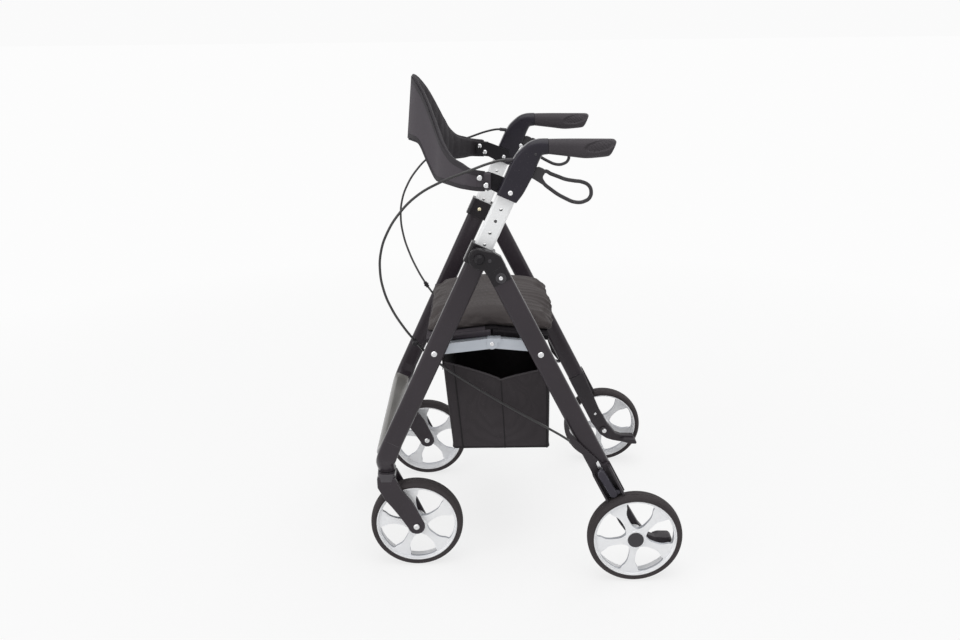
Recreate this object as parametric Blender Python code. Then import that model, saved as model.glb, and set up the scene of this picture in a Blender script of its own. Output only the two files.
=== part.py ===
# Four-wheel rollator: two front casters on a U-shaped front frame, a rear frame that folds about
# the apex, seat links under two boards, height posts with grips and loop brakes, and a backrest.
# Metres. X points to the user, Y across, Z up. The origin is on the floor, midway between the axles.
import math

import bmesh
import bpy
from mathutils import Vector

# Fits and edges
CLEARANCE = 0.0003
BOLT_SLACK = 0.0003
JOIN_STEP = 0.0002
MOULDED_ROUND = 0.002

# Layout
WHEELBASE = 0.4624
PIVOT_X = -0.0895
PIVOT_Z = 0.6985
CROSSBAR_Z = 0.2576
CROSSBAR_LEAD = 0.0017
FRONT_LEG_Y = 0.238
LEG_GAP = 0.001
REAR_SET_BACK = 0.0185
REAR_AXLE_LEAD = 0.0026

# Frame tube
TUBE_WIDTH = 0.041
TUBE_DEPTH = 0.020
TUBE_WALL = 0.0015
TUBE_CORNER = 0.006
CROSSBAR_BEND = 0.040
BEND_STEPS = 4
REAR_TUBE_END = 0.508

# Wheels
WHEEL_RADIUS = 0.100
WHEEL_WIDTH = 0.034
RIM_RADIUS = 0.0872
RIM_WALL = 0.003
RIM_WIDTH = 0.031
SPOKES = 5
WINDOW_INNER = 0.025
WINDOW_OUTER = 0.0795
WEB_FACE = 0.0125
WEB_THICKNESS = 0.006
BOSS_RADIUS = 0.018
BOSS_WIDTH = 0.035
FRONT_SPOKE_ANGLE = 28.0
REAR_SPOKE_ANGLE = 47.0
TYRE_SHOULDER = 0.007
TREAD_SHARE = 0.5
TYRE_SIDES = 30
HUB_SIDES = 20

# Caster
CASTER_Y = 0.218
CASTER_TRAIL = 0.061
CROWN_TOP = 0.2255
CROWN_RADIUS = 0.0193
CROWN_HEIGHT = 0.012
CROWN_SINK = 0.002
BRIDGE_HEIGHT = 0.014
SOCKET_RADIUS = 0.0180
SOCKET_RISE = 0.019
SOCKET_GAP = 0.0015
STEM_RADIUS = 0.008
STEM_LENGTH = 0.027
FORK_GAP = 0.003
FORK_ARM = 0.006
FORK_END = 0.0185
# Fork arm's front edge as offsets from the crown's front and the bridge, then both edges near the axle
ARM_SHOULDER = ((0.0, -0.008), (0.007, -0.022), (0.014, -0.036))
ARM_FRONT = ((-0.051, 0.046), (-0.0352, 0.0235))
ARM_REAR = ((-0.0045, 0.055), (-0.0285, 0.0878))

# Bolts
BOLT_RADIUS = 0.004
HEAD_RADIUS = 0.0065
HEAD_HEIGHT = 0.0035
AXLE_RADIUS = 0.006
AXLE_NUT_RADIUS = 0.008
AXLE_CAP_RADIUS = 0.0165
AXLE_CAP_HEIGHT = 0.003

# Collar and fold hinge
COLLAR_WIDTH = 0.051
COLLAR_DEPTH = 0.0296
COLLAR_RISE = 0.021
COLLAR_DROP = 0.021
COLLAR_FLANGE = 0.005
KNOB_RADIUS = 0.011
KNOB_HEIGHT = 0.011
LOBE_RADIUS = 0.0215
LOBE_GAP = 0.0005
LOBE_THICKNESS = 0.0172
BRACKET_SHOULDER = 0.036
BRACKET_LIP = 0.0005
BRACKET_CHAMFER = 0.009
BRACKET_CREST = 0.0155
BRACKET_THROAT = 0.026
BRACKET_SKIRT = 0.0635
BRACKET_PLUG = 0.095

# Height post
POST_WALL = 0.0015
POST_SHOW = 0.106
POST_INSERT = 0.100
POST_POCKET = 0.040
HOLE_PITCH = 0.0254
HOLE_COUNT = 5
HOLE_RADIUS = 0.0034

# Handle
HANDLE_Y = 0.241
HOUSING_WIDTH = 0.030
HOUSING_ROUND = 0.004
# Outer edge of the finger loop from its root round the loop and back, from the housing's lower end
LEVER_LOOP = ((0.0500, 0.0360), (0.0625, 0.0590), (0.0798, 0.0509), (0.0970, 0.0440), (0.1133, 0.0379),
              (0.1300, 0.0347), (0.1467, 0.0327), (0.1613, 0.0247), (0.1672, 0.0101), (0.1640, -0.0040),
              (0.1541, -0.0123), (0.1366, -0.0154), (0.1092, -0.0053), (0.0818, 0.0126), (0.0642, 0.0273))
LEVER_PIVOT = (0.0440, 0.0460)
LEVER_ROOT_RADIUS = 0.0085
LEVER_NECK = ((0.0520, 0.0385), (0.0600, 0.0530))
# Corners of the lever's slot from its pivot
LEVER_SLOT = ((-0.0125, 0.0165), (0.060, 0.022), (0.040, -0.060), (-0.0125, -0.0105))
LEVER_THICKNESS = 0.0085
LEVER_BAR = 0.0082
LEVER_SLOT_GAP = 0.0006
LEVER_PIN = 0.003
LEVER_PIN_HALF = 0.011
LEVER_PIN_ROOM = 0.0005
# Moulded elbow's outline, from the middle of its lower end
ELBOW = ((-0.0185, 0.0075), (0.0096, 0.0681), (0.0215, 0.0865), (0.0325, 0.0970), (0.0445, 0.1058),
         (0.0580, 0.1105), (0.0690, 0.1116), (0.0791, 0.1116), (0.0791, 0.0816), (0.0680, 0.0802),
         (0.0640, 0.0725), (0.0600, 0.0640), (0.0530, 0.0475), (0.0508, 0.0420), (0.0322, 0.0082),
         (0.0268, -0.0055), (0.0190, -0.0095))
ELBOW_SOCKET = 0.030
# Top and bottom points of the grip's slanted sections, from the same end
GRIP_TOP = ((0.0797, 0.1106), (0.1010, 0.1108), (0.1260, 0.1107), (0.1560, 0.1103), (0.1860, 0.1099),
            (0.2030, 0.1092), (0.2083, 0.1052))
GRIP_LOW = ((0.0797, 0.0822), (0.1000, 0.0797), (0.1230, 0.0768), (0.1510, 0.0736), (0.1780, 0.0751),
            (0.1930, 0.0770), (0.1973, 0.0800))
GRIP_SHARES = (0.86, 0.89, 0.94, 1.0, 1.0, 0.95, 0.80)
GRIP_HALF_WIDTH = 0.0175

# Backrest: edges of the half band as (distance from the middle, x, z) from the housing's lower end,
# and the (x, z) ends that lie straight along the bracket
BACKREST_TOP = ((0.0, -0.1874, 0.2158), (0.030, -0.1792, 0.2076), (0.060, -0.1635, 0.1834),
                (0.090, -0.1485, 0.1520), (0.120, -0.1354, 0.1201), (0.150, -0.1230, 0.0919),
                (0.180, -0.1049, 0.0691), (0.207, -0.0839, 0.0591), (0.2265, -0.0689, 0.0522))
BACKREST_LOW = ((0.0, -0.1997, 0.0843), (0.030, -0.1899, 0.0848), (0.060, -0.1739, 0.0796),
                (0.090, -0.1569, 0.0473), (0.120, -0.1399, 0.0183), (0.150, -0.1269, 0.0171),
                (0.180, -0.1079, 0.0159), (0.207, -0.0879, 0.0143), (0.2265, -0.0714, 0.0150))
BACKREST_TOP_END = ((-0.0539, 0.0490), (-0.0299, 0.0461))
BACKREST_LOW_END = ((-0.0544, 0.0138), (-0.0299, 0.0130))
BACKREST_BOLTS = ((-0.0512, 0.0377), (-0.0388, 0.0233))
BACKREST_Y = 0.2325
# Outline of the plate that holds the band's end, from the same end of the housing
HOLDER = ((-0.0590, 0.0440), (-0.0340, 0.0468), (-0.0220, 0.0430), (-0.0040, 0.0358), (0.0180, 0.0263),
          (0.0240, 0.0063), (0.0010, -0.0017), (-0.0160, 0.0053), (-0.0299, 0.0125), (-0.0590, 0.0165))
BACKREST_STEPS = 2
BACKREST_EDGE = 0.009
BACKREST_ROUND = 0.0014
BACKREST_CROWN = 0.006
BACKREST_HEAD_GAP = 0.0008
BAR_PLATE = 0.0045

# Seat
FRONT_LINK_S = 0.2225
REAR_LINK_S = 0.2316
HINGE_X = -0.0657
HINGE_LIFT = 0.0111
LINK_HEIGHT = 0.022
LINK_WALL = 0.0025
BOARD_LAP = 0.0095
FRONT_LINK_Y = 0.2250
LINK_GAP = 0.0005
SPACER_RADIUS = 0.006
BOARD_HALF_WIDTH = 0.1925
BOARD_THICKNESS = 0.010
BOARD_FRONT = 0.016
BOARD_REAR = 0.018
CUSHION_HALF_WIDTH = 0.1735
CUSHION_FRONT = 0.019
CUSHION_REAR = 0.036
CUSHION_EDGE = 0.006
CUSHION_CROWN = 0.015
CUSHION_CORNER = 0.030

# Bag
BAG_TOP_FRONT = -0.169
BAG_BOTTOM_FRONT = -0.150
BAG_REAR = 0.056
BAG_NOTCH_X = -0.047
BAG_BOTTOM = 0.262
BAG_FRONT_RIM = 0.460
BAG_NOTCH_RIM = 0.4195
BAG_REAR_RIM = 0.443
BAG_HALF_WIDTH = 0.190
BAG_WALL = 0.004

# Rear wheel bracket and brake
BRACKET_WIDTH = 0.0193
BRACKET_TONGUE = 0.050
REAR_WHEEL_GAP = 0.0028
# Outline below the tube, then the kerb pedal, as (down, behind) offsets from the axle
AROUND_AXLE = ((-0.030, -0.0185), (0.009, -0.0130), (0.028, -0.0030), (0.040, 0.0090), (0.052, 0.0240),
               (0.071, 0.0530), (0.0690, 0.0620), (0.0525, 0.0635), (0.0370, 0.0350), (0.0250, 0.0240),
               (-0.010, 0.0170), (-0.053, 0.0150))
HOUSING_PLATE = 0.0067
HOUSING_CHEEK = 0.0257
CHEEK_WALL = 0.0042
GUARD_TOP = 0.382
GUARD_BULGE = 0.009
TYRE_CLEARANCE = 0.0025
ARM_HALF_WIDTH = 0.0085
ARM_THICKNESS = 0.010
ARM_LENGTH = 0.0525
ARM_PIVOT_OFFSET = 0.0105
ARM_EAR_RADIUS = 0.0045
SHOE_GAP = 0.0014
ARM_PIN = 0.003

# Cables, each side's routes from the lever to the brake, as (x, distance from the middle, z). The two
# halves lap side by side at the front leg, so that they pass each other as the frame folds
CABLE_RADIUS = 0.0025
CABLE_CURVE_STEPS = 12
UPPER_ROUTE = ((-0.0268, 0.248, 0.8858), (-0.0400, 0.251, 0.8868), (-0.0620, 0.256, 0.8834),
               (-0.1050, 0.262, 0.8695), (-0.1640, 0.265, 0.8470), (-0.2060, 0.266, 0.8235),
               (-0.2410, 0.266, 0.7900), (-0.2670, 0.265, 0.7500), (-0.2800, 0.262, 0.7140),
               (-0.2840, 0.258, 0.6740), (-0.2790, 0.252, 0.6330), (-0.2660, 0.242, 0.5920),
               (-0.2430, 0.226, 0.5450), (-0.2230, 0.215, 0.5130))
LOWER_ROUTE = ((-0.2226, 0.2095, 0.5125), (-0.2060, 0.2093, 0.4910), (-0.1675, 0.209, 0.4556),
               (-0.1080, 0.209, 0.4130), (-0.0475, 0.210, 0.3735), (0.0100, 0.214, 0.3400),
               (0.0523, 0.222, 0.3180), (0.0850, 0.236, 0.3030), (0.1050, 0.251, 0.2940))

FRONT_AXLE = (-WHEELBASE / 2, WHEEL_RADIUS)
REAR_AXLE = (WHEELBASE / 2, WHEEL_RADIUS)
STEM_X = FRONT_AXLE[0] - CASTER_TRAIL
CROSSBAR_X = STEM_X - CROSSBAR_LEAD
REAR_LEG_Y = FRONT_LEG_Y + TUBE_DEPTH + LEG_GAP
REAR_WHEEL_Y = REAR_LEG_Y - TUBE_DEPTH / 2 + BRACKET_WIDTH + REAR_WHEEL_GAP + WHEEL_WIDTH / 2
FRONT_LEAN = math.atan2(PIVOT_X - CROSSBAR_X, PIVOT_Z - CROSSBAR_Z)
CROSSBAR_S = math.hypot(PIVOT_X - CROSSBAR_X, PIVOT_Z - CROSSBAR_Z)
REAR_REACH = math.hypot(REAR_AXLE[0] - PIVOT_X, REAR_AXLE[1] - PIVOT_Z)
REAR_AXLE_N = REAR_SET_BACK - REAR_AXLE_LEAD
REAR_LEAN = math.atan2(REAR_AXLE[0] - PIVOT_X, PIVOT_Z - REAR_AXLE[1]) - math.asin(REAR_AXLE_N / REAR_REACH)
REAR_AXLE_S = math.sqrt(REAR_REACH ** 2 - REAR_AXLE_N ** 2)
SIDES = (("left", -1), ("right", 1))

CHARCOAL = (0.045, 0.040, 0.045)
PLASTIC = (0.022, 0.020, 0.024)


def front(s, n=0.0):
    # Point at distance s down the front leg from the fold pivot, n behind its centre line
    return (PIVOT_X - s * math.sin(FRONT_LEAN) + n * math.cos(FRONT_LEAN),
            PIVOT_Z - s * math.cos(FRONT_LEAN) - n * math.sin(FRONT_LEAN))


def rear(s, n=0.0):
    # Point at distance s down the rear leg's direction from the fold pivot, n behind the pivot
    return (PIVOT_X + s * math.sin(REAR_LEAN) + n * math.cos(REAR_LEAN),
            PIVOT_Z - s * math.cos(REAR_LEAN) + n * math.sin(REAR_LEAN))


def handle(x, z):
    # Point of the handle, measured from the middle of the housing's lower end
    base = front(-COLLAR_RISE - POST_SHOW)
    return (base[0] + x, base[1] + z)


def rounded_section(width, depth, corner, steps=2):
    # Rounded rectangle as (across, deep) pairs, counter-clockwise
    points = []
    for x_sign, y_sign, start in ((1, 1, 0), (-1, 1, 90), (-1, -1, 180), (1, -1, 270)):
        for step in range(steps + 1):
            angle = math.radians(start + 90 * step / steps)
            points.append((x_sign * (width / 2 - corner) + corner * math.cos(angle),
                           y_sign * (depth / 2 - corner) + corner * math.sin(angle)))
    return points


def smooth_path(points, steps):
    # Catmull-Rom curve through the given points
    vectors = [Vector(point) for point in points]
    last = len(vectors) - 1
    result = []
    for index in range(last):
        a = vectors[max(index - 1, 0)]
        b = vectors[index]
        c = vectors[index + 1]
        d = vectors[min(index + 2, last)]
        for step in range(steps):
            t = step / steps
            result.append(0.5 * (2 * b + (c - a) * t + (2 * a - 5 * b + 4 * c - d) * t ** 2
                                 + (3 * b - a - 3 * c + d) * t ** 3))
    result.append(vectors[-1])
    return result


def inset(outline, distance):
    # Closed (x, z) outline moved inward by a distance along its corner bisectors
    area = sum(a[0] * b[1] - b[0] * a[1] for a, b in zip(outline, outline[1:] + outline[:1]))
    turn = 1 if area > 0 else -1
    result = []
    for index, point in enumerate(outline):
        before = Vector(point) - Vector(outline[index - 1])
        after = Vector(outline[(index + 1) % len(outline)]) - Vector(point)
        before.normalize()
        after.normalize()
        normal = Vector((-before.y - after.y, before.x + after.x)) * turn
        normal.normalize()
        side = Vector((-before.y, before.x)) * turn
        result.append(tuple(Vector(point) + normal * (distance / max(normal.dot(side), 0.5))))
    return result


def lofted(rings, joined=False):
    # Closed body through rings of equal point count: capped, or joined end to end
    bm = bmesh.new()
    rows = [[bm.verts.new(point) for point in ring] for ring in rings]
    pairs = list(zip(rows, rows[1:]))
    if joined:
        pairs.append((rows[-1], rows[0]))
    for low, high in pairs:
        for index in range(len(low)):
            following = (index + 1) % len(low)
            bm.faces.new((low[index], low[following], high[following], high[index]))
    if not joined:
        bm.faces.new(rows[0][::-1])
        bm.faces.new(rows[-1])
    bmesh.ops.recalc_face_normals(bm, faces=bm.faces)
    return bm


def plate(outline, y_start, y_end, rounding=0.0):
    # (x, z) outline extruded across, with its two rims rounded over
    rings = [[(x, y, z) for x, z in outline] for y in (y_start, y_end)]
    bm = lofted(rings)
    if rounding:
        rims = [edge for edge in bm.edges if abs(edge.verts[0].co.y - edge.verts[1].co.y) < 1e-9]
        bmesh.ops.bevel(bm, geom=rims, offset=rounding, segments=1, profile=0.5, affect="EDGES",
                        clamp_overlap=True, material=-1)
    return bm


def turned(profile, centre, sides, sign=1):
    # Closed (radius, offset) profile turned about an axis across the frame through (x, z); one flat
    # of the many-sided ring faces straight down
    rings = []
    for index in range(sides):
        angle = -math.pi / 2 + math.pi * (2 * index + 1) / sides
        rings.append([(centre[0] + radius * math.cos(angle), sign * offset,
                       centre[1] + radius * math.sin(angle)) for radius, offset in profile])
    return lofted(rings, joined=True)


def disc(x, z, radius, y_start, y_end, sides=10):
    # Solid round bar across the frame
    angles = [2 * math.pi * index / sides for index in range(sides)]
    outline = [(x + radius * math.cos(angle), z + radius * math.sin(angle)) for angle in angles]
    return plate(outline, y_start, y_end)


def dome(x, z, radius, height, y_seat, sign, sides=12):
    # Domed bolt head that stands out from y_seat
    rings = []
    for share, rise in ((1.0, 0.0), (0.93, 0.5), (0.5, 1.0)):
        ring = []
        for index in range(sides):
            angle = 2 * math.pi * index / sides
            ring.append((x + radius * share * math.cos(angle), y_seat + sign * height * rise,
                         z + radius * share * math.sin(angle)))
        rings.append(ring)
    return lofted(rings)


def upright(x, y, radius, z_start, z_end, sides=20):
    # Solid round bar that stands upright
    rings = []
    for z in (z_start, z_end):
        rings.append([(x + radius * math.cos(2 * math.pi * index / sides),
                       y + radius * math.sin(2 * math.pi * index / sides), z) for index in range(sides)])
    return lofted(rings)


def scratch_object(bm):
    mesh = bpy.data.meshes.new("scratch")
    bm.to_mesh(mesh)
    bm.free()
    result = bpy.data.objects.new("scratch", mesh)
    bpy.context.scene.collection.objects.link(result)
    return result


def combined(base, tool, operation):
    # Exact Boolean of two closed bodies, as a new body
    base_object = scratch_object(base)
    tool_object = scratch_object(tool)
    modifier = base_object.modifiers.new(operation.lower(), "BOOLEAN")
    modifier.operation = operation
    modifier.solver = "EXACT"
    modifier.object = tool_object
    graph = bpy.context.evaluated_depsgraph_get()
    mesh = bpy.data.meshes.new_from_object(base_object.evaluated_get(graph))
    result = bmesh.new()
    result.from_mesh(mesh)
    bpy.data.meshes.remove(mesh)
    for used in (base_object, tool_object):
        used_mesh = used.data
        bpy.data.objects.remove(used)
        bpy.data.meshes.remove(used_mesh)
    bmesh.ops.remove_doubles(result, verts=result.verts, dist=0.00001)
    return result


def united(first, *others):
    for other in others:
        first = combined(first, other, "UNION")
    return first


def cut(first, *tools):
    for tool in tools:
        first = combined(first, tool, "DIFFERENCE")
    return first


def material(name, colour, roughness, metallic=0.0):
    result = bpy.data.materials.new(name)
    result.use_nodes = True
    shader = result.node_tree.nodes["Principled BSDF"]
    shader.inputs["Base Color"].default_value = (*colour, 1.0)
    shader.inputs["Roughness"].default_value = roughness
    shader.inputs["Metallic"].default_value = metallic
    return result


def body(name, x=0.0, y=0.0, z=0.0, parent=None):
    # Empty on a joint's axis, which carries the pieces that move with it
    result = bpy.data.objects.new(name, None)
    result.parent = parent
    offset = Vector((x, y, z))
    result["place"] = tuple(offset)
    result.location = offset - (Vector(parent["place"]) if parent else Vector())
    bpy.context.scene.collection.objects.link(result)
    return result


def piece(name, bm, carrier, colour, roughness, metallic=0.0):
    # One solid, its origin on the axis of the body that carries it
    place = Vector(carrier["place"])
    bmesh.ops.translate(bm, vec=-place, verts=bm.verts)
    mesh = bpy.data.meshes.new(name)
    bm.to_mesh(mesh)
    bm.free()
    mesh.shade_smooth()
    mesh.set_sharp_from_angle(angle=math.radians(30))
    result = bpy.data.objects.new(name, mesh)
    result.parent = carrier
    mesh.materials.append(material(name, colour, roughness, metallic))
    bpy.context.scene.collection.objects.link(result)
    return result


def tube_ring(point, s, y, width, depth, corner):
    # One section of a flat tube at s along a leg, centred on y; point maps (s, n) to (x, z)
    ring = []
    for across, deep in rounded_section(width, depth, corner):
        x, z = point(s, across)
        ring.append((x, y + deep, z))
    return ring


def flat_tube(point, start, end, y, width, depth, wall, corner, offset=0.0):
    # Straight flat tube, open at both ends
    rings = []
    for s, shrink in ((start, 0), (end, 0), (end, wall), (start, wall)):
        rings.append(tube_ring(lambda a, b: point(a, b + offset), s, y, width - 2 * shrink,
                               depth - 2 * shrink, corner - shrink))
    return lofted(rings, joined=True)


def flat_bar(point, start, end, y, width, depth, corner, offset=0.0):
    # Straight solid bar of the same section
    rings = [tube_ring(lambda a, b: point(a, b + offset), s, y, width, depth, corner)
             for s in (start, end)]
    return lofted(rings)


def build_front_frame(frame):
    bore_width = TUBE_WIDTH - 2 * TUBE_WALL
    bore_depth = TUBE_DEPTH - 2 * TUBE_WALL
    bend_start = CROSSBAR_S - CROSSBAR_BEND
    tube_top = -COLLAR_RISE + COLLAR_FLANGE
    for side, sign in SIDES:
        y = sign * FRONT_LEG_Y
        outer = y + sign * TUBE_DEPTH / 2
        leg = flat_tube(front, tube_top + CLEARANCE, bend_start - CLEARANCE, y, TUBE_WIDTH, TUBE_DEPTH,
                        TUBE_WALL, TUBE_CORNER)
        leg = cut(leg, disc(*front(FRONT_LINK_S), BOLT_RADIUS + BOLT_SLACK, y - TUBE_DEPTH, y + TUBE_DEPTH),
                  disc(*front(0), BOLT_RADIUS + BOLT_SLACK, y, y + sign * TUBE_DEPTH))
        piece("frame_leg_" + side, leg, frame, CHARCOAL, 0.42, 0.3)

        pocket = (TUBE_WIDTH + 2 * CLEARANCE, TUBE_DEPTH + 2 * CLEARANCE, TUBE_CORNER + CLEARANCE)
        slot = (bore_width, bore_depth, TUBE_CORNER - TUBE_WALL)
        shell = (COLLAR_WIDTH, COLLAR_DEPTH, TUBE_CORNER)
        sections = ((-COLLAR_RISE, shell), (COLLAR_DROP, shell), (COLLAR_DROP, pocket), (tube_top, pocket),
                    (tube_top, slot), (-COLLAR_RISE, slot))
        collar = lofted([tube_ring(front, s, y, *section) for s, section in sections], joined=True)
        collar = cut(collar, disc(*front(0), BOLT_RADIUS + BOLT_SLACK, y, y + sign * COLLAR_DEPTH))
        piece("collar_" + side, collar, frame, PLASTIC, 0.45)

        collar_face = y + sign * COLLAR_DEPTH / 2
        lobe_face = collar_face + sign * (LOBE_GAP + LOBE_THICKNESS)
        tip = outer - sign * (TUBE_WALL - CLEARANCE)
        knob_seat = lobe_face + sign * CLEARANCE
        knob = dome(*front(0), KNOB_RADIUS, KNOB_HEIGHT, knob_seat, sign, 20)
        knob = united(knob, disc(*front(0), BOLT_RADIUS, tip, knob_seat + sign * KNOB_HEIGHT / 4))
        piece("lock_bolt_" + side, knob, frame, PLASTIC, 0.35)

        x, z = front(FRONT_LINK_S)
        link_face = sign * FRONT_LINK_Y
        inner_leg = y - sign * TUBE_DEPTH / 2
        bolt = dome(x, z, HEAD_RADIUS, HEAD_HEIGHT, outer + sign * CLEARANCE, sign)
        nut_seat = link_face - sign * (LINK_WALL + CLEARANCE)
        bolt = united(bolt, disc(x, z, BOLT_RADIUS, nut_seat - sign * HEAD_HEIGHT / 2,
                                 outer + sign * HEAD_HEIGHT / 2),
                      disc(x, z, SPACER_RADIUS, link_face + sign * CLEARANCE, inner_leg - sign * CLEARANCE),
                      disc(x, z, HEAD_RADIUS, nut_seat - sign * HEAD_HEIGHT, nut_seat))
        piece("link_bolt_front_" + side, bolt, frame, (0.75, 0.75, 0.76), 0.2, 1.0)

    # The crossbar's path in the lean plane: across the frame and up into each leg
    path = []
    quarter = list(range(BEND_STEPS + 1))
    for sign, steps in ((-1, quarter), (1, quarter[::-1])):
        for step in steps:
            angle = math.pi / 2 * step / BEND_STEPS
            bend_y = FRONT_LEG_Y - CROSSBAR_BEND
            path.append((sign * (bend_y + CROSSBAR_BEND * math.cos(angle)),
                         bend_start + CROSSBAR_BEND * math.sin(angle),
                         sign * math.cos(angle), math.sin(angle)))
    rings = {}
    for shrink in (0, TUBE_WALL):
        rings[shrink] = []
        for y, s, out_y, out_s in path:
            ring = []
            for across, deep in rounded_section(TUBE_WIDTH - 2 * shrink, TUBE_DEPTH - 2 * shrink,
                                                TUBE_CORNER - shrink):
                x, z = front(s + deep * out_s, across)
                ring.append((x, y + deep * out_y, z))
            rings[shrink].append(ring)
    crossbar = lofted(rings[0] + rings[TUBE_WALL][::-1], joined=True)
    socket_bottom = CROWN_TOP + SOCKET_GAP
    for side, sign in SIDES:
        y = sign * CASTER_Y
        socket = upright(STEM_X, y, SOCKET_RADIUS, socket_bottom, socket_bottom + SOCKET_RISE)
        crossbar = united(crossbar, socket)
        crossbar = cut(crossbar, upright(STEM_X, y, STEM_RADIUS + CLEARANCE, CROWN_TOP,
                                         CROWN_TOP + STEM_LENGTH + SOCKET_GAP))
    piece("frame_crossbar", crossbar, frame, CHARCOAL, 0.42, 0.3)


def build_bag(frame):
    outline = [(BAG_BOTTOM_FRONT, BAG_BOTTOM), (BAG_REAR, BAG_BOTTOM), (BAG_REAR, BAG_REAR_RIM),
               (BAG_NOTCH_X, BAG_NOTCH_RIM), (BAG_TOP_FRONT, BAG_FRONT_RIM)]
    bag = plate(outline, -BAG_HALF_WIDTH, BAG_HALF_WIDTH)
    above = 2 * BAG_FRONT_RIM
    hollow = [(BAG_BOTTOM_FRONT + BAG_WALL, BAG_BOTTOM + BAG_WALL),
              (BAG_REAR - BAG_WALL, BAG_BOTTOM + BAG_WALL),
              (BAG_REAR - BAG_WALL, above), (BAG_TOP_FRONT + BAG_WALL, above),
              (BAG_TOP_FRONT + BAG_WALL, BAG_FRONT_RIM)]
    inside = BAG_HALF_WIDTH - BAG_WALL
    piece("bag", cut(bag, plate(hollow, -inside, inside)), frame, (0.035, 0.030, 0.036), 0.85)


def build_rear_frame(frame):
    skin_end = BRACKET_SHOULDER + CLEARANCE
    rear_link = rear(REAR_LINK_S, REAR_SET_BACK)
    n_front = REAR_SET_BACK - TUBE_WIDTH / 2
    n_rear = REAR_SET_BACK + TUBE_WIDTH / 2
    for side, sign in SIDES:
        y = sign * REAR_LEG_Y
        outer = y + sign * TUBE_DEPTH / 2
        inner = y - sign * TUBE_DEPTH / 2
        leg = flat_tube(rear, skin_end, REAR_TUBE_END, y, TUBE_WIDTH, TUBE_DEPTH, TUBE_WALL, TUBE_CORNER,
                        REAR_SET_BACK)
        leg = cut(leg, disc(*rear_link, BOLT_RADIUS + BOLT_SLACK, y - TUBE_DEPTH, y + TUBE_DEPTH))
        piece("rear_leg_" + side, leg, frame, CHARCOAL, 0.42, 0.3)

        # Plastic hinge bracket: a lobe over the collar, a skin over the leg and a plug in its bore
        lobe_start = sign * (FRONT_LEG_Y + COLLAR_DEPTH / 2 + LOBE_GAP)
        lobe_end = lobe_start + sign * LOBE_THICKNESS
        lobe = [rear(LOBE_RADIUS * math.cos(angle), -LOBE_RADIUS * math.sin(angle))
                for angle in (math.radians(45 + 18.75 * step) for step in range(9))]
        wide_front = n_front - BRACKET_LIP
        wide_rear = n_rear + BRACKET_LIP
        shoulder = [rear(0.0, n_rear - BRACKET_CHAMFER), rear(BRACKET_CREST, wide_rear),
                    rear(BRACKET_SHOULDER, wide_rear), rear(BRACKET_SHOULDER, wide_front),
                    rear(BRACKET_THROAT, wide_front)]
        bracket = plate(lobe + shoulder, lobe_start, lobe_end, MOULDED_ROUND)
        skirt_top = BRACKET_SHOULDER - BRACKET_CHAMFER
        skirt_front = n_front + 2 * BRACKET_LIP
        skirt_rear = n_rear - 2 * BRACKET_LIP
        skirt = [rear(skirt_top, skirt_front), rear(skirt_top, skirt_rear), rear(BRACKET_SKIRT, skirt_rear),
                 rear(BRACKET_SKIRT, skirt_front)]
        bracket = united(bracket, plate(skirt, outer + sign * CLEARANCE, lobe_end - sign * JOIN_STEP))
        bracket = united(bracket, flat_bar(rear, BRACKET_SHOULDER - LEG_GAP, BRACKET_PLUG, y,
                                           TUBE_WIDTH - 2 * TUBE_WALL - 2 * CLEARANCE,
                                           TUBE_DEPTH - 2 * TUBE_WALL - 2 * CLEARANCE,
                                           TUBE_CORNER - TUBE_WALL - CLEARANCE, REAR_SET_BACK))
        bracket = cut(bracket, disc(*rear(0), BOLT_RADIUS + BOLT_SLACK, y - sign * TUBE_DEPTH,
                                    y + sign * 2 * TUBE_DEPTH))
        piece("hinge_bracket_" + side, bracket, frame, PLASTIC, 0.45)

        link_face = sign * (FRONT_LINK_Y - LINK_WALL - LINK_GAP)
        bolt = dome(*rear_link, HEAD_RADIUS, HEAD_HEIGHT, outer + sign * CLEARANCE, sign)
        bolt = united(bolt, disc(*rear_link, BOLT_RADIUS, inner - sign * LEG_GAP,
                                 outer + sign * HEAD_HEIGHT / 2),
                      disc(*rear_link, SPACER_RADIUS, link_face + sign * LINK_GAP, inner - sign * CLEARANCE))
        piece("link_bolt_rear_" + side, bolt, frame, (0.75, 0.75, 0.76), 0.2, 1.0)


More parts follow.
